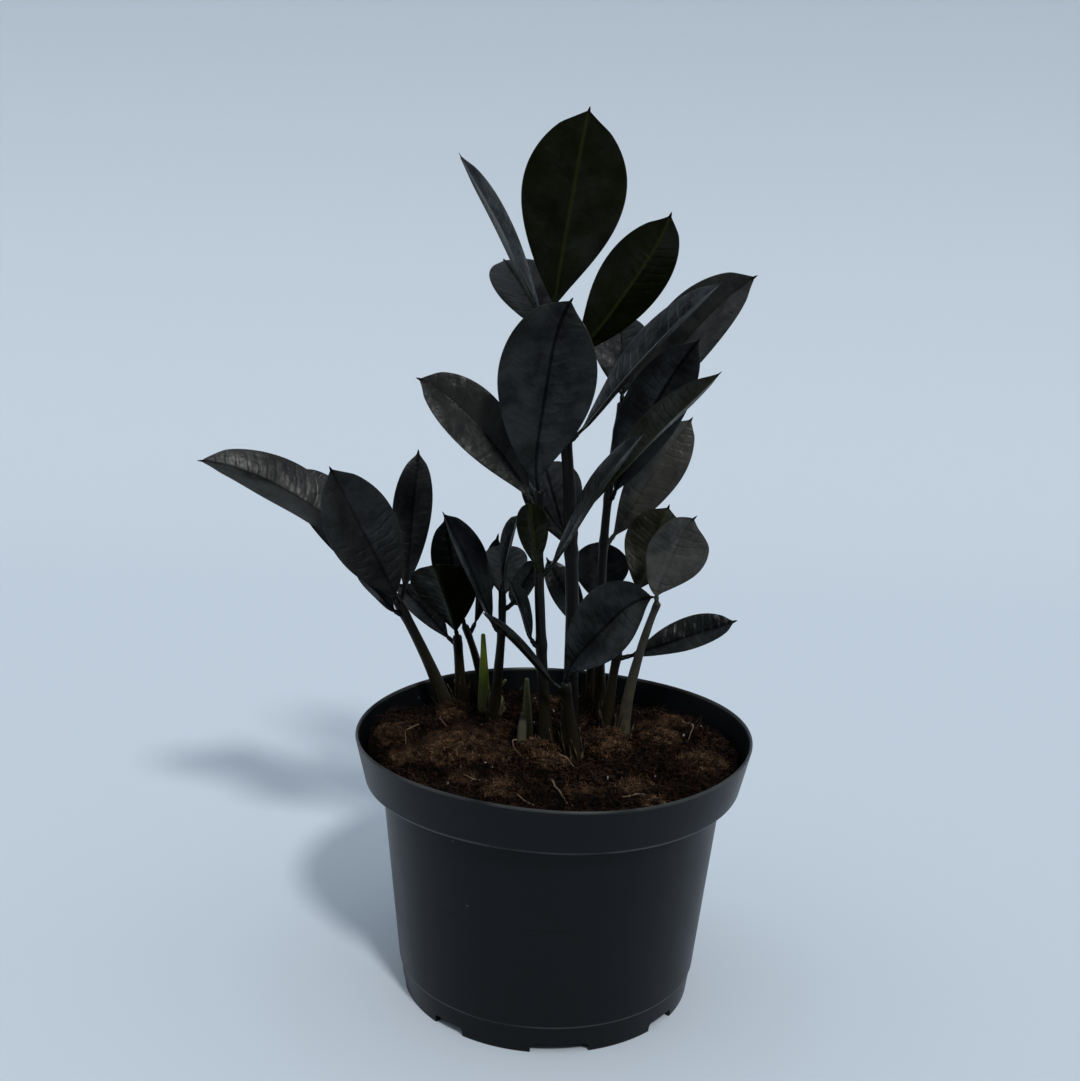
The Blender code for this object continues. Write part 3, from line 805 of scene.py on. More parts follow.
def build_soil(look):
    ground = Ground()
    material = earth_material("Peat", look.dark, look.light)
    angles = np.arange(SOIL_SIDES) * math.tau / SOIL_SIDES
    shoulder = ground.level - SHOULDER_DROP
    edge = np.array([reach_at(ground.tree, angle, shoulder) for angle in angles])
    rows = []
    for index in range(1, SOIL_RINGS + 1):
        share = index / SOIL_RINGS
        droop = 0.0012 * smooth((share - 0.97) / 0.03)
        ring = []
        for angle, reach in zip(angles, edge):
            x, y = (polar(angle) * (reach * share))[:2]
            ring.append((x, y, ground.rough(x, y) - droop))
        rows.append(ring)
    bottom = SOIL_LOW[2]
    for level in np.linspace(shoulder - 0.004, bottom + 0.0006, SOIL_SIDE_ROWS):
        reach = [reach_at(ground.tree, angle, level) for angle in angles]
        rows.append([(*(polar(angle) * r)[:2], level) for angle, r in zip(angles, reach)])
    rows.append([(*(polar(angle) * (r - 0.001))[:2], bottom) for angle, r in zip(angles, reach)])
    soil = skin("soil_bed", rows, material)
    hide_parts("soil")
    return soil, ground


def ground_patch(ground, name, inset, material):
    """A helper surface just above the soil, for strewing things on."""
    turns = np.linspace(-math.pi, math.pi, 49)
    reach = np.array([reach_at(ground.tree, turn, ground.level - 0.002) for turn in turns]) - inset
    count = int(reach.max() / PATCH_STEP)
    shape = bmesh.new()
    corners = {}
    for i in range(-count, count + 1):
        for j in range(-count, count + 1):
            x, y = i * PATCH_STEP, j * PATCH_STEP
            if math.hypot(x, y) < np.interp(math.atan2(y, x), turns, reach):
                corners[i, j] = shape.verts.new((x, y, ground.rough(x, y)))
    for (i, j), corner in corners.items():
        others = [corners.get(key) for key in ((i + 1, j), (i + 1, j + 1), (i, j + 1))]
        if None not in others:
            shape.faces.new([corner, *others])
    return finished(name, shape, material, smoothed=False)


def scatter_group():
    """Copies of the shapes in a collection, strewn over a surface, each turned and sized at random and lifted
    a little along its normal.
    """
    inputs = (("Geometry", "NodeSocketGeometry", None), ("Shapes", "NodeSocketCollection", None),
              ("Density", "NodeSocketFloat", 1000.0), ("Smallest", "NodeSocketFloat", 0.5),
              ("Largest", "NodeSocketFloat", 1.0), ("Tilt", "NodeSocketFloat", 0.4),
              ("Lift", "NodeSocketFloat", 0.0), ("Seed", "NodeSocketInt", 1),
              ("Material", "NodeSocketMaterial", None))
    outputs = (("Geometry", "NodeSocketGeometry"),)
    tree, kit, given, out = new_group("Scatter", "GeometryNodeTree", inputs, outputs)
    seed, tilt = given["Seed"], given["Tilt"]
    surface = {"Mesh": given["Geometry"], "Density": given["Density"], "Seed": seed}
    spread = kit.add("GeometryNodeDistributePointsOnFaces", surface).outputs
    lifted = kit.add("ShaderNodeVectorMath", {0: spread["Normal"], "Scale": given["Lift"]}, operation="SCALE")
    moved = kit.add("GeometryNodeSetPosition", {"Geometry": spread["Points"], "Offset": lifted.outputs[0]})
    source = {"Collection": given["Shapes"], "Separate Children": True, "Reset Children": True}
    shapes = kit.add("GeometryNodeCollectionInfo", source).outputs[0]
    sizes = {2: given["Smallest"], 3: given["Largest"], "Seed": seed}
    size = kit.add("FunctionNodeRandomValue", sizes, data_type="FLOAT").outputs[1]
    copies = {"Points": moved.outputs[0], "Instance": shapes, "Pick Instance": True, "Scale": size}
    placed = kit.add("GeometryNodeInstanceOnPoints", copies).outputs[0]
    back = kit.times(tilt, -1.0)
    least = kit.add("ShaderNodeCombineXYZ", {0: back, 1: back, 2: 0.0}).outputs[0]
    most = kit.add("ShaderNodeCombineXYZ", {0: tilt, 1: tilt, 2: math.tau}).outputs[0]
    turns = {0: least, 1: most, "Seed": seed}
    turn = kit.add("FunctionNodeRandomValue", turns, data_type="FLOAT_VECTOR").outputs[0]
    turned = kit.add("GeometryNodeRotateInstances", {"Instances": placed, "Rotation": turn}).outputs[0]
    real = kit.add("GeometryNodeRealizeInstances", {"Geometry": turned}).outputs[0]
    done = kit.add("GeometryNodeSetMaterial", {"Geometry": real, "Material": given["Material"]}).outputs[0]
    kit.tree.links.new(done, out["Geometry"])
    return tree


def strewn(name, surface, shapes, material, **settings):
    """What the scatter tree makes of a surface and some shapes, as a plain mesh. The shapes are used up."""
    holder = bpy.data.collections.new(name)
    for shape in shapes:
        for home in list(shape.users_collection):
            home.objects.unlink(shape)
        holder.objects.link(shape)
    host = link(bpy.data.objects.new(name, surface.data.copy()))
    tree = group_of("Scatter", scatter_group)
    modifier = host.modifiers.new("Scatter", "NODES")
    modifier.node_group = tree
    settings.update(Shapes=holder, Material=material)
    for item in tree.interface.items_tree:
        if item.in_out == "INPUT" and item.name in settings:
            modifier[item.identifier] = settings[item.name]
    made = baked(name, host)
    for shape in shapes:
        drop(shape)
    bpy.data.collections.remove(holder)
    return made


def crumb(index, material):
    """A small uneven ball."""
    shape = bmesh.new()
    bmesh.ops.create_icosphere(shape, subdivisions=CRUMB_FACES, radius=1.0)
    for corner in shape.verts:
        bulge = 1 + 0.38 * noise.noise(corner.co * 1.7 + Vector((index * 3.1, 0, 0)))
        corner.co = corner.co * bulge
        corner.co.z *= 0.72
        corner.co.x *= 1 + 0.12 * index
    return finished(f"crumb {index}", shape, material)


def strand(index, rng, length, thickness, curl, material, sides=3, rows=5):
    """A thin curled fibre lying along X."""
    shares = np.linspace(-0.5, 0.5, rows)
    heading = shares * rng.uniform(0.3, 1.0) * curl + np.cumsum(rng.normal(0, 0.20, rows))
    step = length / (rows - 1)
    x = np.cumsum(np.cos(heading)) * step
    y = np.cumsum(np.sin(heading)) * step
    z = 0.22 * length * (1 - (2 * shares) ** 2) * rng.uniform(-0.2, 1.0)
    line = np.stack([x - x.mean(), y - y.mean(), z], 1)
    radii = thickness * (1 - 0.6 * np.abs(2 * shares) ** 3)
    return tube(f"strand {index}", line, radii, sides, material)


def clod(index, x, y, size, height, ground, material):
    """A lump of coir that sits in the soil."""
    shape = bmesh.new()
    bmesh.ops.create_icosphere(shape, subdivisions=CLOD_FACES, radius=1.0)
    level = ground.height(x, y)
    for corner in shape.verts:
        seed = corner.co * 1.4 + Vector((index * 5.3, 1.7, 0))
        bulge = 1 + 0.30 * noise.fractal(seed, 0.9, 2.1, 3) + 0.16 * abs(noise.noise(seed * size * 420))
        corner.co = Vector((x + corner.co.x * size * bulge, y + corner.co.y * size * bulge,
                            level - 0.0008 + corner.co.z * height * bulge))
    return finished(f"clod {index}", shape, material)


def build_litter(look, ground):
    """Crumbs, coir clods, fibres, roots and white grains on the soil."""
    rng = np.random.default_rng(look.seed)
    loose = earth_material("Crumbs", look.dark, scaled(look.fibre_light, 0.45), 0.95, 1500.0, 0.0004)
    fibre = strand_material("Fibre", look.fibre_dark, look.fibre_light)
    coir = strand_material("Coir", look.coir_dark, look.coir_light)
    clod_look = earth_material("Coir clod", scaled(look.coir_dark, 0.3), scaled(look.coir_light, 0.4), 0.95,
                               900.0, 0.0010)
    grain = earth_material("Perlite", (0.30, 0.29, 0.27), (0.45, 0.44, 0.41), 0.8, 900.0, 0.0002)
    root = strand_material("Root", (0.09, 0.062, 0.040), (0.27, 0.21, 0.145), 0.55)
    surface = ground_patch(ground, "litter surface", 0.0022, loose)
    made = []
    crumbs = [crumb(index, loose) for index in range(5)]
    made.append(strewn("soil_crumbs", surface, crumbs, loose, Density=look.crumbs, Smallest=0.0004,
                       Largest=0.0013, Tilt=1.5, Lift=0.0002, Seed=look.seed))
    clods = [clod(i, *spot, ground, clod_look) for i, spot in enumerate(CLODS)]
    heap = join("coir_clods", clods)
    tufts = [strand(i, rng, rng.uniform(0.003, 0.006), 0.00020, 4.0, coir) for i in range(12)]
    made.append(strewn("coir_tufts", heap, tufts, coir, Density=look.tufts, Smallest=0.5, Largest=1.1,
                       Tilt=1.3, Lift=0.0002, Seed=look.seed + 1))
    made.append(heap)
    fibres = [strand(i, rng, rng.uniform(0.004, 0.010), 0.00019, 3.2, fibre) for i in range(14)]
    made.append(strewn("coir_fibres", surface, fibres, fibre, Density=look.fibres, Smallest=0.5, Largest=1.2,
                       Tilt=0.8, Lift=0.0009, Seed=look.seed + 2))
    grains = [crumb(index + 7, grain) for index in range(3)]
    made.append(strewn("white_grains", surface, grains, grain, Density=look.grains, Smallest=0.0002,
                       Largest=0.0007, Tilt=1.5, Lift=0.0012, Seed=look.seed + 3))
    threads = []
    for index, (places, radius) in enumerate(ROOTS):
        spots = np.array([(x, y, ground.height(x, y) + up) for x, y, up in places])
        line = smooth_line(spots, 0.0012)
        wobble = np.array([noise.noise_vector(Vector(point) * 160) for point in line]) * 0.0008
        shares = np.linspace(0, 1, len(line))
        threads.append(tube(f"root {index}", line + wobble, radius * (1.3 - 0.7 * shares), 8, root))
    made.append(join("pale_roots", threads))
    drop(surface)
    return made


# --- Stems -------------------------------------------------------------------------------------------------


def smooth_line(places, step, values=None):
    """Points at even steps along a smooth curve through the places, with any values carried along."""
    places = np.asarray(places, float)
    stops = np.concatenate([[0], np.cumsum(np.linalg.norm(np.diff(places, axis=0), axis=1))])
    slopes = np.gradient(places, stops, axis=0)
    at = np.linspace(0, stops[-1], max(3, int(stops[-1] / step) + 1))
    index = np.clip(np.searchsorted(stops, at, side="right") - 1, 0, len(stops) - 2)
    size = (stops[index + 1] - stops[index])[:, None]
    t = (at - stops[index])[:, None] / size
    line = ((2 * t**3 - 3 * t**2 + 1) * places[index] + (t**3 - 2 * t**2 + t) * size * slopes[index]
            + (3 * t**2 - 2 * t**3) * places[index + 1] + (t**3 - t**2) * size * slopes[index + 1])
    return line if values is None else (line, np.interp(at, stops, values))


def read_stem(name):
    """(middles, radii) of a stem's sections from its buried end up, read from its solid."""
    points, _ = read_node(name)
    middle = points.mean(0)
    axis = np.linalg.svd(points - middle, full_matrices=False)[2][0]
    axis *= np.sign(axis[2])
    along = (points - middle) @ axis
    order = np.argsort(along)
    breaks = np.flatnonzero(np.diff(along[order]) > RING_GAP) + 1
    rings = [ring for ring in np.split(points[order], breaks) if len(ring) > 3]
    middles = np.array([ring.mean(0) for ring in rings])
    radii = np.array([np.linalg.norm(ring - ring.mean(0), axis=1).max() for ring in rings])
    return middles, radii


def stalk_of(leaflet):
    """The stalk that a leaflet's name says it stands on."""
    key = leaflet.removeprefix("leaflet_")
    return max((name for name in STALKS if key.startswith(name.removeprefix("stalk_") + "_")), key=len)


def leaflet_seat(name, tree):
    """The middle of the section where a leaflet meets its stalk, and the stalk's nearest point to it."""
    points, _ = read_node(name)
    reach = [tree.find_nearest(Vector(point))[3] for point in points]
    seat = points[np.argsort(reach)[:SEAT_CORNERS]].mean(0)
    return seat, np.array(tree.find_nearest(Vector(seat))[0])


def build_stem(name, title, material, soil_level, swell=0.30, seats=(), dry=0.0, fuller=1.0):
    """A stem with a thickened foot, a slight swelling at each seat, and a rounded end, dark for its last dry
    part."""
    middles, radii = read_stem(name)
    radii = radii * fuller
    line, sizes = smooth_line(middles, STEM_STEP, radii)
    key = sum(map(ord, name))
    rise = line[:, 2] - soil_level
    above = smooth(rise / 0.02)
    drift = np.array([noise.noise_vector(Vector((key, 0.0, point[2] * 28))) for point in line])
    drift[:, 2] = 0
    line = line + drift * 0.0005 * above[:, None]
    sizes = sizes * (1 + swell * np.exp(-np.clip(rise - 0.001, 0, 1) / 0.012) * (rise > -0.004))
    joints = np.zeros(len(line))
    for seat in seats:
        away = np.linalg.norm(line - seat, axis=1)
        lowest = away - away.min()
        near = np.exp(-((np.abs(line[:, 2] - seat[2]) / NODE_REACH) ** 2))
        joints = np.maximum(joints, near * (lowest < 0.02))
    sizes = sizes * (1 + NODE_SWELL * joints)
    ripple = np.array([noise.noise(Vector((key, 1.5, point[2] * 90))) for point in line])
    sizes = sizes * (1 + 0.05 * ripple)
    end = line[-1] - line[-2]
    cap = [line[-1] + unit(end) * sizes[-1] * math.sin(turn) * 0.8 for turn in CAP_TURNS]
    cap_sizes = [sizes[-1] * math.cos(turn) for turn in CAP_TURNS]
    line = np.concatenate([line, cap])
    sizes = np.concatenate([sizes, cap_sizes])
    joints = np.concatenate([joints, np.zeros(len(CAP_TURNS))])
    joints = np.maximum(joints, line[:, 2] > line[-1, 2] - dry)
    rise = line[:, 2] - soil_level
    marks = np.stack([np.zeros_like(rise), rise, joints], -1)
    marks = np.repeat(marks[:, None], STEM_SIDES, 1)
    return tube(title, line, sizes, STEM_SIDES, material, {"stem": marks})


def build_stalks(look):
    dark = stem_material("Stalk", look.stalk_foot, look.stalk_top, look.stalk_speckle)
    pale = stem_material("Pale stalk", (0.060, 0.055, 0.034), (0.034, 0.033, 0.028), (0.020, 0.019, 0.014))
    level = Ground().level
    made = []
    for name in STALKS:
        tree = search_tree(name)
        seats = [leaflet_seat(leaf, tree)[0] for leaf in LEAFLETS if stalk_of(leaf) == name]
        material = pale if name == "stalk_right_light" else dark
        stem = build_stem(name, name.removeprefix("stalk_") + "_stalk", material, level, 0.30, seats)
        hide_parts(name)
        made.append(stem)
    return made


def build_sheaths(look):
    """Dry strips of old sheath that stand round the stalks' feet and curl away from them."""
    rng = np.random.default_rng(look.seed)
    material = strand_material("Dry sheath", look.sheath_dark, look.sheath_light)
    level = Ground().level
    strips = []
    for name in STALKS:
        middles, radii = read_stem(name)
        line, sizes = smooth_line(middles, STEM_STEP, radii)
        for index in range(SHEATH_STRIPS):
            heights = np.linspace(level - 0.002, level + rng.uniform(0.005, SHEATH_HEIGHT), SHEATH_ROWS)
            middle = np.stack([np.interp(heights, line[:, 2], line[:, axis]) for axis in (0, 1)], 1)
            size = np.interp(heights, line[:, 2], sizes) * SHEATH_AWAY
            shares = np.linspace(0, 1, SHEATH_ROWS)
            turn = rng.uniform(0, math.tau) + shares * rng.normal(0, 0.5)
            out = size + rng.uniform(0.0, 0.0035) * shares**2
            around = np.stack([np.cos(turn), np.sin(turn)], 1) * out[:, None]
            spots = np.column_stack([middle + around, heights])
            thickness = SHEATH_RADIUS * (1.05 - 0.8 * shares)
            strips.append(tube(f"strip {name} {index}", spots, thickness, 5, material))
    return join("dry_sheaths", strips)


def build_shoots():
    # name: colours of the foot, of the rest and of the speckles
    looks = {
        "shoot_tall": ((0.085, 0.085, 0.040), (0.105, 0.150, 0.016), (0.160, 0.180, 0.035)),
        "shoot_middle": ((0.075, 0.075, 0.042), (0.085, 0.098, 0.042), (0.110, 0.115, 0.055)),
        "shoot_small": ((0.080, 0.082, 0.038), (0.090, 0.105, 0.032), (0.120, 0.125, 0.045)),
        "shoot_stub": ((0.085, 0.080, 0.052), (0.080, 0.080, 0.058), (0.120, 0.112, 0.082)),
    }
    level = Ground().level
    made = []
    for name in SHOOTS:
        foot, top, speckle = looks[name]
        material = stem_material(name.replace("_", " "), foot, top, speckle, 0.42, 0.03)
        dry = 0.0035 if name == "shoot_stub" else 0.0
        fuller = 1.5 if name == "shoot_tall" else 1.1
        title = name.removeprefix("shoot_") + "_shoot"
        shoot = build_stem(name, title, material, level, 0.12, (), dry, fuller)
        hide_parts(name)
        made.append(shoot)
    return made


# --- Leaflets ----------------------------------------------------------------------------------------------


class Blade:
    """A leaflet's seat, chord, facing, spine, half width and fold, read from its solid section by section."""

    SHARES = np.linspace(0.13, 0.95, 15)
    FULLER = 1.16  # above 1, the widest place moves towards the tip

    def __init__(self, name, tree):
        points, _ = read_node(name)
        self.seat, self.root = leaflet_seat(name, tree)
        tip = points[np.linalg.norm(points - self.seat, axis=1).argmax()]
        self.length = np.linalg.norm(tip - self.seat)
        self.along = unit(tip - self.seat)
        spots = [self.seat + self.along * self.length * share for share in self.SHARES]
        cuts = [section(name, spot, self.along) for spot in spots]
        widest = max((cut.reshape(-1, 3) for cut in cuts), key=lambda cut: np.ptp(cut, axis=0).max())
        gaps = np.linalg.norm(widest[:, None] - widest[None], axis=2)
        first, second = np.unravel_index(gaps.argmax(), gaps.shape)
        self.side = unit(widest[second] - widest[first])
        self.face = np.cross(self.side, self.along)
        found = [self.read(cut) for cut in cuts]
        if sum(lift for *_, lift in found) < 0:
            self.side, self.face = -self.side, -self.face
            found = [self.read(cut) for cut in cuts]
        middles = np.array([(aside, up) for aside, up, *_ in found])
        halves = np.array([half for *_, half, _ in found])
        self.fold = np.mean([lift / half for *_, half, lift in found])
        base = self.SHARES * (1 - self.SHARES)
        terms = np.stack([base, base * self.SHARES, base * self.SHARES**2], 1)
        self.spine = np.linalg.lstsq(terms, middles, rcond=None)[0]
        self.start = PETIOLE / self.length
        run = (self.SHARES - self.start) / (1 - self.start)
        terms = np.stack([np.ones_like(run), np.log(run), np.log(1 - run)], 1) * halves[:, None]
        self.outline = np.linalg.lstsq(terms, np.log(halves) * halves, rcond=None)[0]

    def read(self, cut):
        """(aside, up, half width, lift of the edges) of one section, measured from the chord."""
        aside = (cut - self.seat) @ self.side
        up = (cut - self.seat) @ self.face
        left, right = aside.argmin(), aside.argmax()
        middle = (aside.min() + aside.max()) / 2
        a, b = aside[:, 0] - middle, aside[:, 1] - middle
        hit = (a * b <= 0) & (a != b)
        share = a[hit] / (a[hit] - b[hit])
        heights = up[hit, 0] + share * (up[hit, 1] - up[hit, 0])
        level = (heights.min() + heights.max()) / 2
        edges = (up.ravel()[left] + up.ravel()[right]) / 2
        return middle, level, (aside.max() - aside.min()) / 2, edges - level

    def centre(self, shares):
        base = shares * (1 - shares)
        aside, up = (np.stack([base, base * shares, base * shares**2], 1) @ self.spine).T
        return (self.seat + shares[:, None] * self.length * self.along
                + aside[:, None] * self.side + up[:, None] * self.face)

    def half_width(self, run):
        """Half the blade's width at a share of its run, a little fuller towards the tip."""
        size, low, high = self.outline
        run = np.clip(run, 1e-4, 1 - 1e-4) ** self.FULLER
        drawn = 1 - 0.30 * smooth((run - 0.90) / 0.10)
        return np.exp(size + low * np.log(run) + high * np.log(1 - run)) * drawn


def half_columns():
    """Places across a blade from one edge to the other, close together at the midrib and at the edges."""
    even = np.linspace(-1, 1, 2 * HALF_COLUMNS + 1)
    bent = np.sin(even * math.pi / 2)
    return np.sign(bent) * np.abs(bent) ** 1.4


def build_leaflet(name, title, material, tone, rng):
    """A folded, slightly waved and twisted blade on its own little stalk. tone is how much painted sheen it
    gets.
    """
    blade = Blade(name, search_tree(stalk_of(name)))
    upper = half_columns()
    across = np.concatenate([upper, upper[-2:0:-1]])
    sign = np.concatenate([np.ones(len(upper)), -np.ones(len(upper) - 2)])
    sign[[0, len(upper) - 1]] = 0
    round_off = np.sqrt(np.clip(1 - across**2, 0, 1))
    petiole = np.linspace(0, 1, PETIOLE_ROWS, endpoint=False) * blade.start
    run = np.sin(np.linspace(0, math.pi / 2, BLADE_ROWS)) * 0.35 + np.linspace(0, 1, BLADE_ROWS) * 0.65
    run = run * 0.9985
    point = np.array([0.4, 1.0]) * TIP_POINT / blade.length
    shares = np.concatenate([petiole, blade.start + run * (1 - blade.start), 1 + point])
    run = np.concatenate([np.full(PETIOLE_ROWS, -1.0) + petiole / blade.start, run, [0.9993, 0.9998]])
    centre = blade.centre(shares)
    root = blade.root + unit(blade.root - blade.seat) * PETIOLE_SUNK
    centre = np.concatenate([[root], centre])
    run = np.concatenate([[-1.25], run])
    ways = np.gradient(centre, axis=0)
    phase, waves = rng.uniform(0, math.tau, 2), rng.uniform(1.2, 2.4)
    wavy = rng.uniform(0.35, 1.0)
    twist = rng.normal(0, 0.05)
    rows, marks, places = [], [], []
    for point, way, at in zip(centre, ways, run):
        way = unit(way)
        side = unit(blade.side - way * (blade.side @ way))
        face = np.cross(side, way)
        turn = twist * smooth(at)
        cos, sin = math.cos(turn), math.sin(turn)
        side, face = side * cos + face * sin, face * cos - side * sin
        half = float(blade.half_width(np.array([max(at, 0.0)]))[0])
        if at > 0.97:
            half = max(half, TIP_HALF * (1.0 if at < 0.999 else (0.9998 - at) / 0.0005 * 0.6 + 0.15))
        spread = smooth((at + 0.25) / 0.32)
        swelling = PETIOLE_RADIUS * (1.12 - 0.22 * math.exp(-((at + 0.45) / 0.3) ** 2))
        wide = max(half * smooth((at + 0.02) / 0.05), 0.0)
        x = across * (swelling * (1 - spread) + max(wide, swelling * 0.8 * (1 - smooth(at / 0.06))) * spread)
        size = np.abs(across)
        vee = (np.sqrt(across**2 + VEE_ROUND**2) - VEE_ROUND) / (math.sqrt(1 + VEE_ROUND**2) - VEE_ROUND)
        belly = BELLY * np.sin(math.pi * np.clip(size, 0, 1)) * (1 - 0.3 * at)
        edge_wave = EDGE_WAVE * wavy * size**2 * np.sin(math.tau * waves * at + np.where(across > 0, *phase))
        fade = smooth(at / 0.12)
        middle = half * fade * ((blade.fold + FOLD_MORE) * vee + belly + edge_wave * smooth((1 - at) / 0.15))
        thin = 1 - 0.45 * max(at, 0)
        rib = np.exp(-((x / RIB_WIDTH) ** 2))
        groove = np.where(sign > 0, GROOVE_ABOVE, GROOVE_BELOW) * rib
        groove = groove * smooth(at / 0.08) * smooth((1 - at) / 0.2)
        thick = (BLADE_THICK * round_off**0.5 + (MIDRIB_THICK - BLADE_THICK) * rib * (at < 0.999)) * thin / 2
        body = sign * (swelling * round_off * (1 - spread) + thick * spread)
        tip = smooth((1 - at) / 0.012)
        y = body * (0.25 + 0.75 * tip) + middle + groove * spread
        rows.append(point + x[:, None] * side + y[:, None] * face)
        marks.append(np.stack([across, np.full_like(x, max(at, 0.0)), (sign + 1) / 2], -1))
        places.append(np.stack([x, np.full_like(x, max(at, 0.0) * blade.length), 0 * x], -1))
    tones = np.full((len(rows), len(across)), tone)
    return skin(title, rows, material, {"blade": marks, "run": places, "tone": tones})


# How strongly each of these leaflets gets a pale grey painted sheen, in patches
PAINTED_SHEEN_SHARES = {
    "leaflet_right_light_tip": 0.85, "leaflet_back_tall_right_low": 0.55, "leaflet_right_grey_tip": 0.30,
    "leaflet_left_lean_tip": 0.22, "leaflet_back_tall_right_top": 0.22, "leaflet_second_left": 0.15,
    "leaflet_main_right_low": 0.15, "leaflet_left_lean_front": 0.15, "leaflet_left_lean_right": 0.12,
}


def build_leaflets(look):
    material = leaf_material(look)
    made = []
    for index, name in enumerate(LEAFLETS):
        rng = np.random.default_rng(look.seed + index)
        title = "leaf_" + name.removeprefix("leaflet_")
        leaf = build_leaflet(name, title, material, PAINTED_SHEEN_SHARES.get(name, 0.0), rng)
        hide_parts(name)
        made.append(leaf)
    return made


# --- Stage -------------------------------------------------------------------------------------------------

CAMERA_PLACE = (0.0, -0.5937, 0.3563)
CAMERA_PAN = -0.0148
CAMERA_PITCH = 0.2434  # downwards
CAMERA_ROLL = 0.0323
FOCAL_SHARE = 1.2951  # the lens's length as a share of the sensor's taller side
SENSOR = 36.0


def build_camera():
    flat = math.cos(CAMERA_PITCH)
    ahead = Vector((math.sin(CAMERA_PAN) * flat, math.cos(CAMERA_PAN) * flat, -math.sin(CAMERA_PITCH)))
    level = Vector((math.cos(CAMERA_PAN), -math.sin(CAMERA_PAN), 0.0))
    above = level.cross(ahead)
    right = level * math.cos(CAMERA_ROLL) + above * math.sin(CAMERA_ROLL)
    up = above * math.cos(CAMERA_ROLL) - level * math.sin(CAMERA_ROLL)
    data = bpy.data.cameras.new("Camera")
    data.sensor_width = SENSOR
    data.lens = FOCAL_SHARE * SENSOR
    camera = link(bpy.data.objects.new("Camera", data))
    turn = Matrix((right, up, -ahead)).transposed()
    camera.matrix_world = Matrix.Translation(CAMERA_PLACE) @ turn.to_4x4()
    bpy.context.scene.camera = camera
    return camera


def build_backdrop(look):
    """A pale floor that sweeps up into a wall behind, in one piece."""
    material, kit, shader, _ = new_material("Backdrop")
    feed(kit, shader, Base_Color=colour(look.backdrop), Roughness=0.9, Specular_IOR_Level=0.1)
    near, back, bend, height, half = -1.6, 1.3, 0.7, 2.6, 2.6
    outline = [(near, 0.0)]
    for index in range(25):
        turn = index / 24 * math.pi / 2
        outline.append((back - bend + bend * math.sin(turn), bend - bend * math.cos(turn)))
    outline.append((back, height))
    points = [(x, y, z) for y, z in outline for x in (-half, half)]
    faces = [(2 * i, 2 * i + 1, 2 * i + 3, 2 * i + 2) for i in range(len(outline) - 1)]
    mesh = bpy.data.meshes.new("Backdrop")
    mesh.from_pydata(points, [], faces)
    mesh.polygons.foreach_set("use_smooth", [True] * len(faces))
    mesh.materials.append(material)
    sheet = link(bpy.data.objects.new("Backdrop", mesh))
    return sheet


def add_light(name, place, softness, strength, tint):
    """A broad, far light that shines from a place towards the plant."""
    data = bpy.data.lights.new(name, "SUN")
    data.angle = softness
    data.energy = strength
    data.color = tint
    lamp = link(bpy.data.objects.new(name, data))
    lamp.matrix_world = Matrix.Translation(place) @ Vector(place).to_track_quat("Z", "Y").to_matrix().to_4x4()
    return lamp


def build_world(look):
    """Light from all sides, dimmer from the front, with colours shown as they are."""
    world = bpy.data.worlds.new("Studio")
    world.use_nodes = True
    bpy.context.scene.world = world
    kit = Nodes(world.node_tree)
    _, behind, above = kit.split(kit.add("ShaderNodeTexCoord").outputs["Generated"])
    back = kit.plus(behind, kit.times(above, 0.95))
    shade = kit.mix(kit.between(back, -0.50, 0.45), colour(scaled(look.sky, look.dim)), colour(look.sky))
    ground = world.node_tree.nodes["Background"]
    feed(kit, ground, Color=shade, Strength=look.sky_strength)
    settings = bpy.context.scene.view_settings
    settings.view_transform = "Standard"
    settings.look = "None"


# --- Settings ----------------------------------------------------------------------------------------------


def shade_property(name, description, default):
    return FloatVectorProperty(name=name, description=description, default=default, subtype="COLOR",
                               min=0, max=1)


def share_property(name, description, default):
    return FloatProperty(name=name, description=description, default=default, subtype="FACTOR",
                         min=0, max=1)


def amount_property(name, description, default, subtype="NONE"):
    return FloatProperty(name=name, description=description, default=default, subtype=subtype, min=0)


class ZzPotLook(bpy.types.PropertyGroup):
    plastic: shade_property("Plastic", "Colour of the pot", (0.0032, 0.0042, 0.0054))
    # Colour of the scuffs, and of the painted highlight on the outer edges.
    worn: shade_property("Scuffs and edge highlight", "Colour of the pot's worn edges", (0.055, 0.057, 0.057))
    roughness: share_property("Roughness", "Roughness of the plastic", 0.36)
    gloss: share_property("Gloss", "How strongly the plastic mirrors", 0.16)


class ZzSoilLook(bpy.types.PropertyGroup):
    dark: shade_property("Dark", "Colour of the wet peat", (0.0022, 0.0014, 0.0011))
    light: shade_property("Light", "Colour of the drier peat", (0.0085, 0.0046, 0.0032))
    fibre_dark: shade_property("Dark fibre", "Darker colour of the fibres", (0.0034, 0.0018, 0.0014))
    fibre_light: shade_property("Light fibre", "Lighter colour of the fibres", (0.074, 0.038, 0.023))
    coir_dark: shade_property("Dark coir", "Darker colour of the clods", (0.020, 0.0095, 0.0052))
    coir_light: shade_property("Light coir", "Lighter colour of the clods", (0.23, 0.135, 0.074))
    crumbs: amount_property("Crumbs", "Crumbs a square metre", 330000)
    fibres: amount_property("Fibres", "Fibres a square metre", 260000)
    tufts: amount_property("Tufts", "Fibres a square metre of a clod", 900000)
    grains: amount_property("Grains", "White grains a square metre", 1800)
    seed: IntProperty(name="Seed", description="Seed of the scattering", default=11)


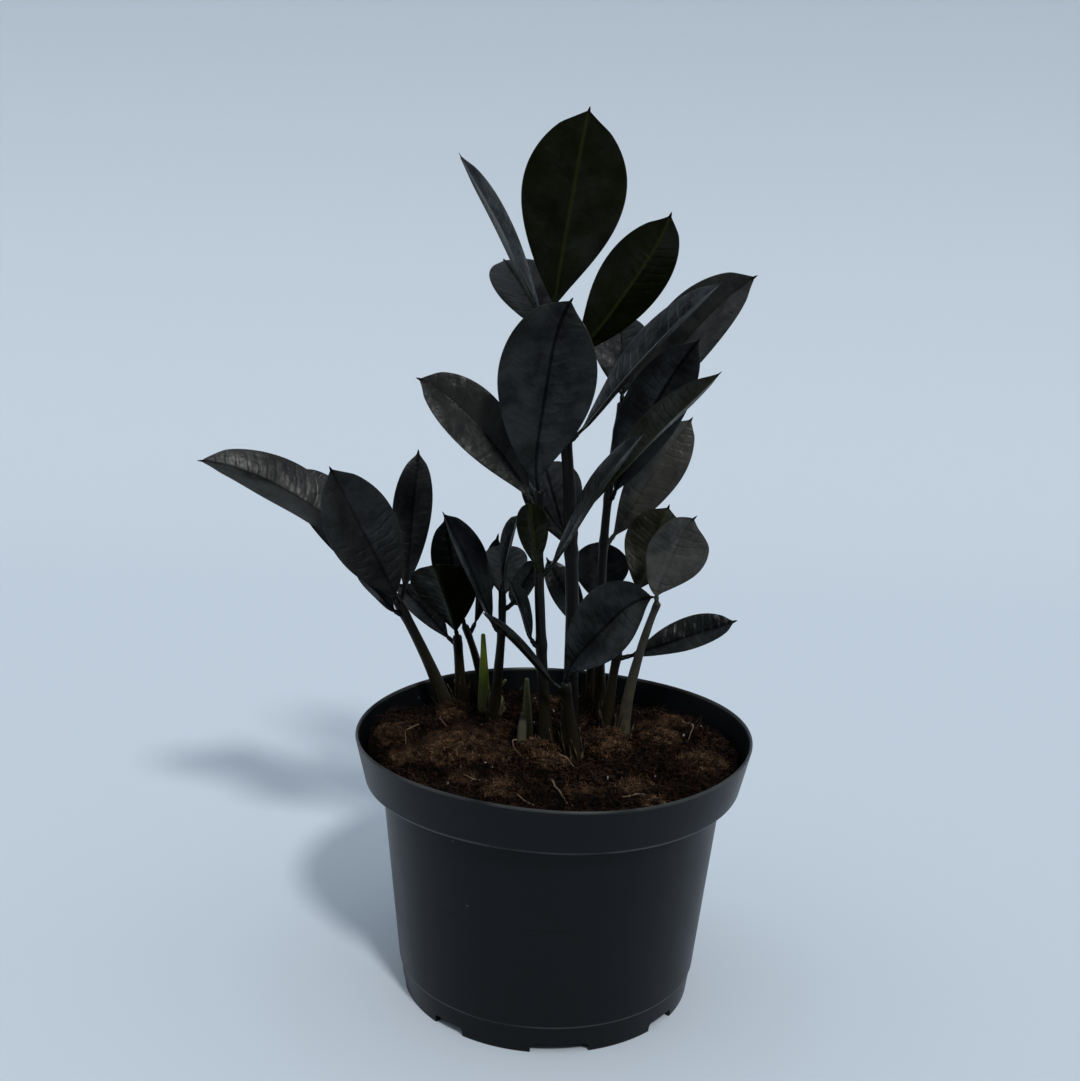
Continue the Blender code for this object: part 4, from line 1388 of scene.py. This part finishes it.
class ZzPlantLook(bpy.types.PropertyGroup):
    upper: shade_property("Upper side", "Colour of a leaflet's upper side", (0.0042, 0.0050, 0.0074))
    upper_green: shade_property("Greener", "Colour of its greener patches", (0.0046, 0.0066, 0.0056))
    under: shade_property("Under side", "Colour of a leaflet's under side", (0.0062, 0.0078, 0.0022))
    # Colour of the painted sheen laid over the listed leaflets.
    painted_sheen_grey: shade_property("Painted sheen grey", "Colour of a young leaflet", (0.088, 0.086, 0.076))
    # Colour of the painted sheen towards the edges, also laid faintly along the side veins.
    painted_sheen_and_veins: shade_property("Painted sheen and veins", "Colour of the bloom towards the edges", (0.017, 0.020, 0.020))
    roughness: share_property("Roughness", "Roughness of the leaflets", 0.38)
    gloss: share_property("Gloss", "How strongly a leaflet mirrors", 0.25)
    stalk_foot: shade_property("Stalk foot", "Colour of a stalk near the soil", (0.017, 0.014, 0.0065))
    stalk_top: shade_property("Stalk top", "Colour of a stalk higher up", (0.0028, 0.0026, 0.0023))
    stalk_speckle: shade_property("Speckle", "Colour of the speckles on a stalk", (0.0085, 0.0075, 0.0060))
    sheath_dark: shade_property("Dark sheath", "Darker colour of the dry sheaths", (0.018, 0.012, 0.0075))
    sheath_light: shade_property("Light sheath", "Lighter colour of the dry sheaths", (0.170, 0.125, 0.082))
    seed: IntProperty(name="Seed", description="Seed of the leaflets' waves", default=40)


class ZzStageLook(bpy.types.PropertyGroup):
    backdrop: shade_property("Backdrop", "Colour of the floor and wall", (0.62, 0.69, 0.765))
    sky: shade_property("Sky", "Colour of the light from all sides", (0.86, 0.93, 1.0))
    sky_strength: amount_property("Sky strength", "Strength of the light from all sides", 0.74)
    dim: share_property("Dim", "Share of that light that comes from the front", 0.12)
    key: amount_property("Key", "Strength of the key light", 1.55)
    softness: amount_property("Softness", "How wide the key light looks", 0.13, "ANGLE")


# --- Operators ---------------------------------------------------------------------------------------------


def settle(pieces):
    """Puts pieces in the frame's one body."""
    for piece in pieces:
        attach(piece, "root")


class ZZ_OT_pot(bpy.types.Operator):
    """Build the nursery pot"""

    bl_idname = "zz_plant.pot"
    bl_label = "Pot"

    def execute(self, context):
        settle([build_pot(context.scene.zz_pot)])
        return {"FINISHED"}


class ZZ_OT_soil(bpy.types.Operator):
    """Build the soil, with its crumbs, coir, roots and white grains"""

    bl_idname = "zz_plant.soil"
    bl_label = "Soil"

    def execute(self, context):
        look = context.scene.zz_soil
        soil, ground = build_soil(look)
        settle([soil, *build_litter(look, ground)])
        return {"FINISHED"}


class ZZ_OT_stalks(bpy.types.Operator):
    """Build the leaf stalks, with the dry sheaths at their feet"""

    bl_idname = "zz_plant.stalks"
    bl_label = "Stalks"

    def execute(self, context):
        look = context.scene.zz_plant_look
        settle([*build_stalks(look), build_sheaths(look)])
        return {"FINISHED"}


class ZZ_OT_shoots(bpy.types.Operator):
    """Build the young shoots and buds"""

    bl_idname = "zz_plant.shoots"
    bl_label = "Shoots"

    def execute(self, context):
        settle(build_shoots())
        return {"FINISHED"}


class ZZ_OT_leaflets(bpy.types.Operator):
    """Build the leaflets"""

    bl_idname = "zz_plant.leaflets"
    bl_label = "Leaflets"

    def execute(self, context):
        settle(build_leaflets(context.scene.zz_plant_look))
        return {"FINISHED"}


class ZZ_OT_stage(bpy.types.Operator):
    """Build the backdrop, the lights and the camera"""

    bl_idname = "zz_plant.stage"
    bl_label = "Stage"

    def execute(self, context):
        look = context.scene.zz_stage
        build_backdrop(look)
        build_world(look)
        add_light("Key", (0.36, -0.80, 0.95), look.softness, look.key, (1.0, 0.99, 0.97))
        build_camera()
        return {"FINISHED"}


class ZZ_PT_panel(bpy.types.Panel):
    """Lists the builders in the sidebar"""

    bl_idname = "ZZ_PT_panel"
    bl_label = "Potted ZZ Plant"
    bl_space_type = "VIEW_3D"
    bl_region_type = "UI"
    bl_category = "ZZ Plant"

    def draw(self, context):
        for look in ("zz_pot", "zz_soil", "zz_plant_look", "zz_stage"):
            box = self.layout.box()
            settings = getattr(context.scene, look)
            for name in settings.__annotations__:
                box.prop(settings, name)
        for operator in OPERATORS:
            self.layout.operator(operator.bl_idname)


OPERATORS = (ZZ_OT_pot, ZZ_OT_soil, ZZ_OT_stalks, ZZ_OT_shoots, ZZ_OT_leaflets, ZZ_OT_stage)
LOOKS = {"zz_pot": ZzPotLook, "zz_soil": ZzSoilLook, "zz_plant_look": ZzPlantLook, "zz_stage": ZzStageLook}


def register():
    for kind in (*LOOKS.values(), *OPERATORS, ZZ_PT_panel):
        bpy.utils.register_class(kind)
    for name, kind in LOOKS.items():
        setattr(bpy.types.Scene, name, PointerProperty(type=kind))


def unregister():
    for name in LOOKS:
        delattr(bpy.types.Scene, name)
    for kind in (ZZ_PT_panel, *reversed(OPERATORS), *reversed(LOOKS.values())):
        bpy.utils.unregister_class(kind)


def main():
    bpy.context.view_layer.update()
    register()
    for operator in OPERATORS:
        getattr(bpy.ops.zz_plant, operator.bl_idname.split(".")[1])()


if __name__ == "__main__":
    main()
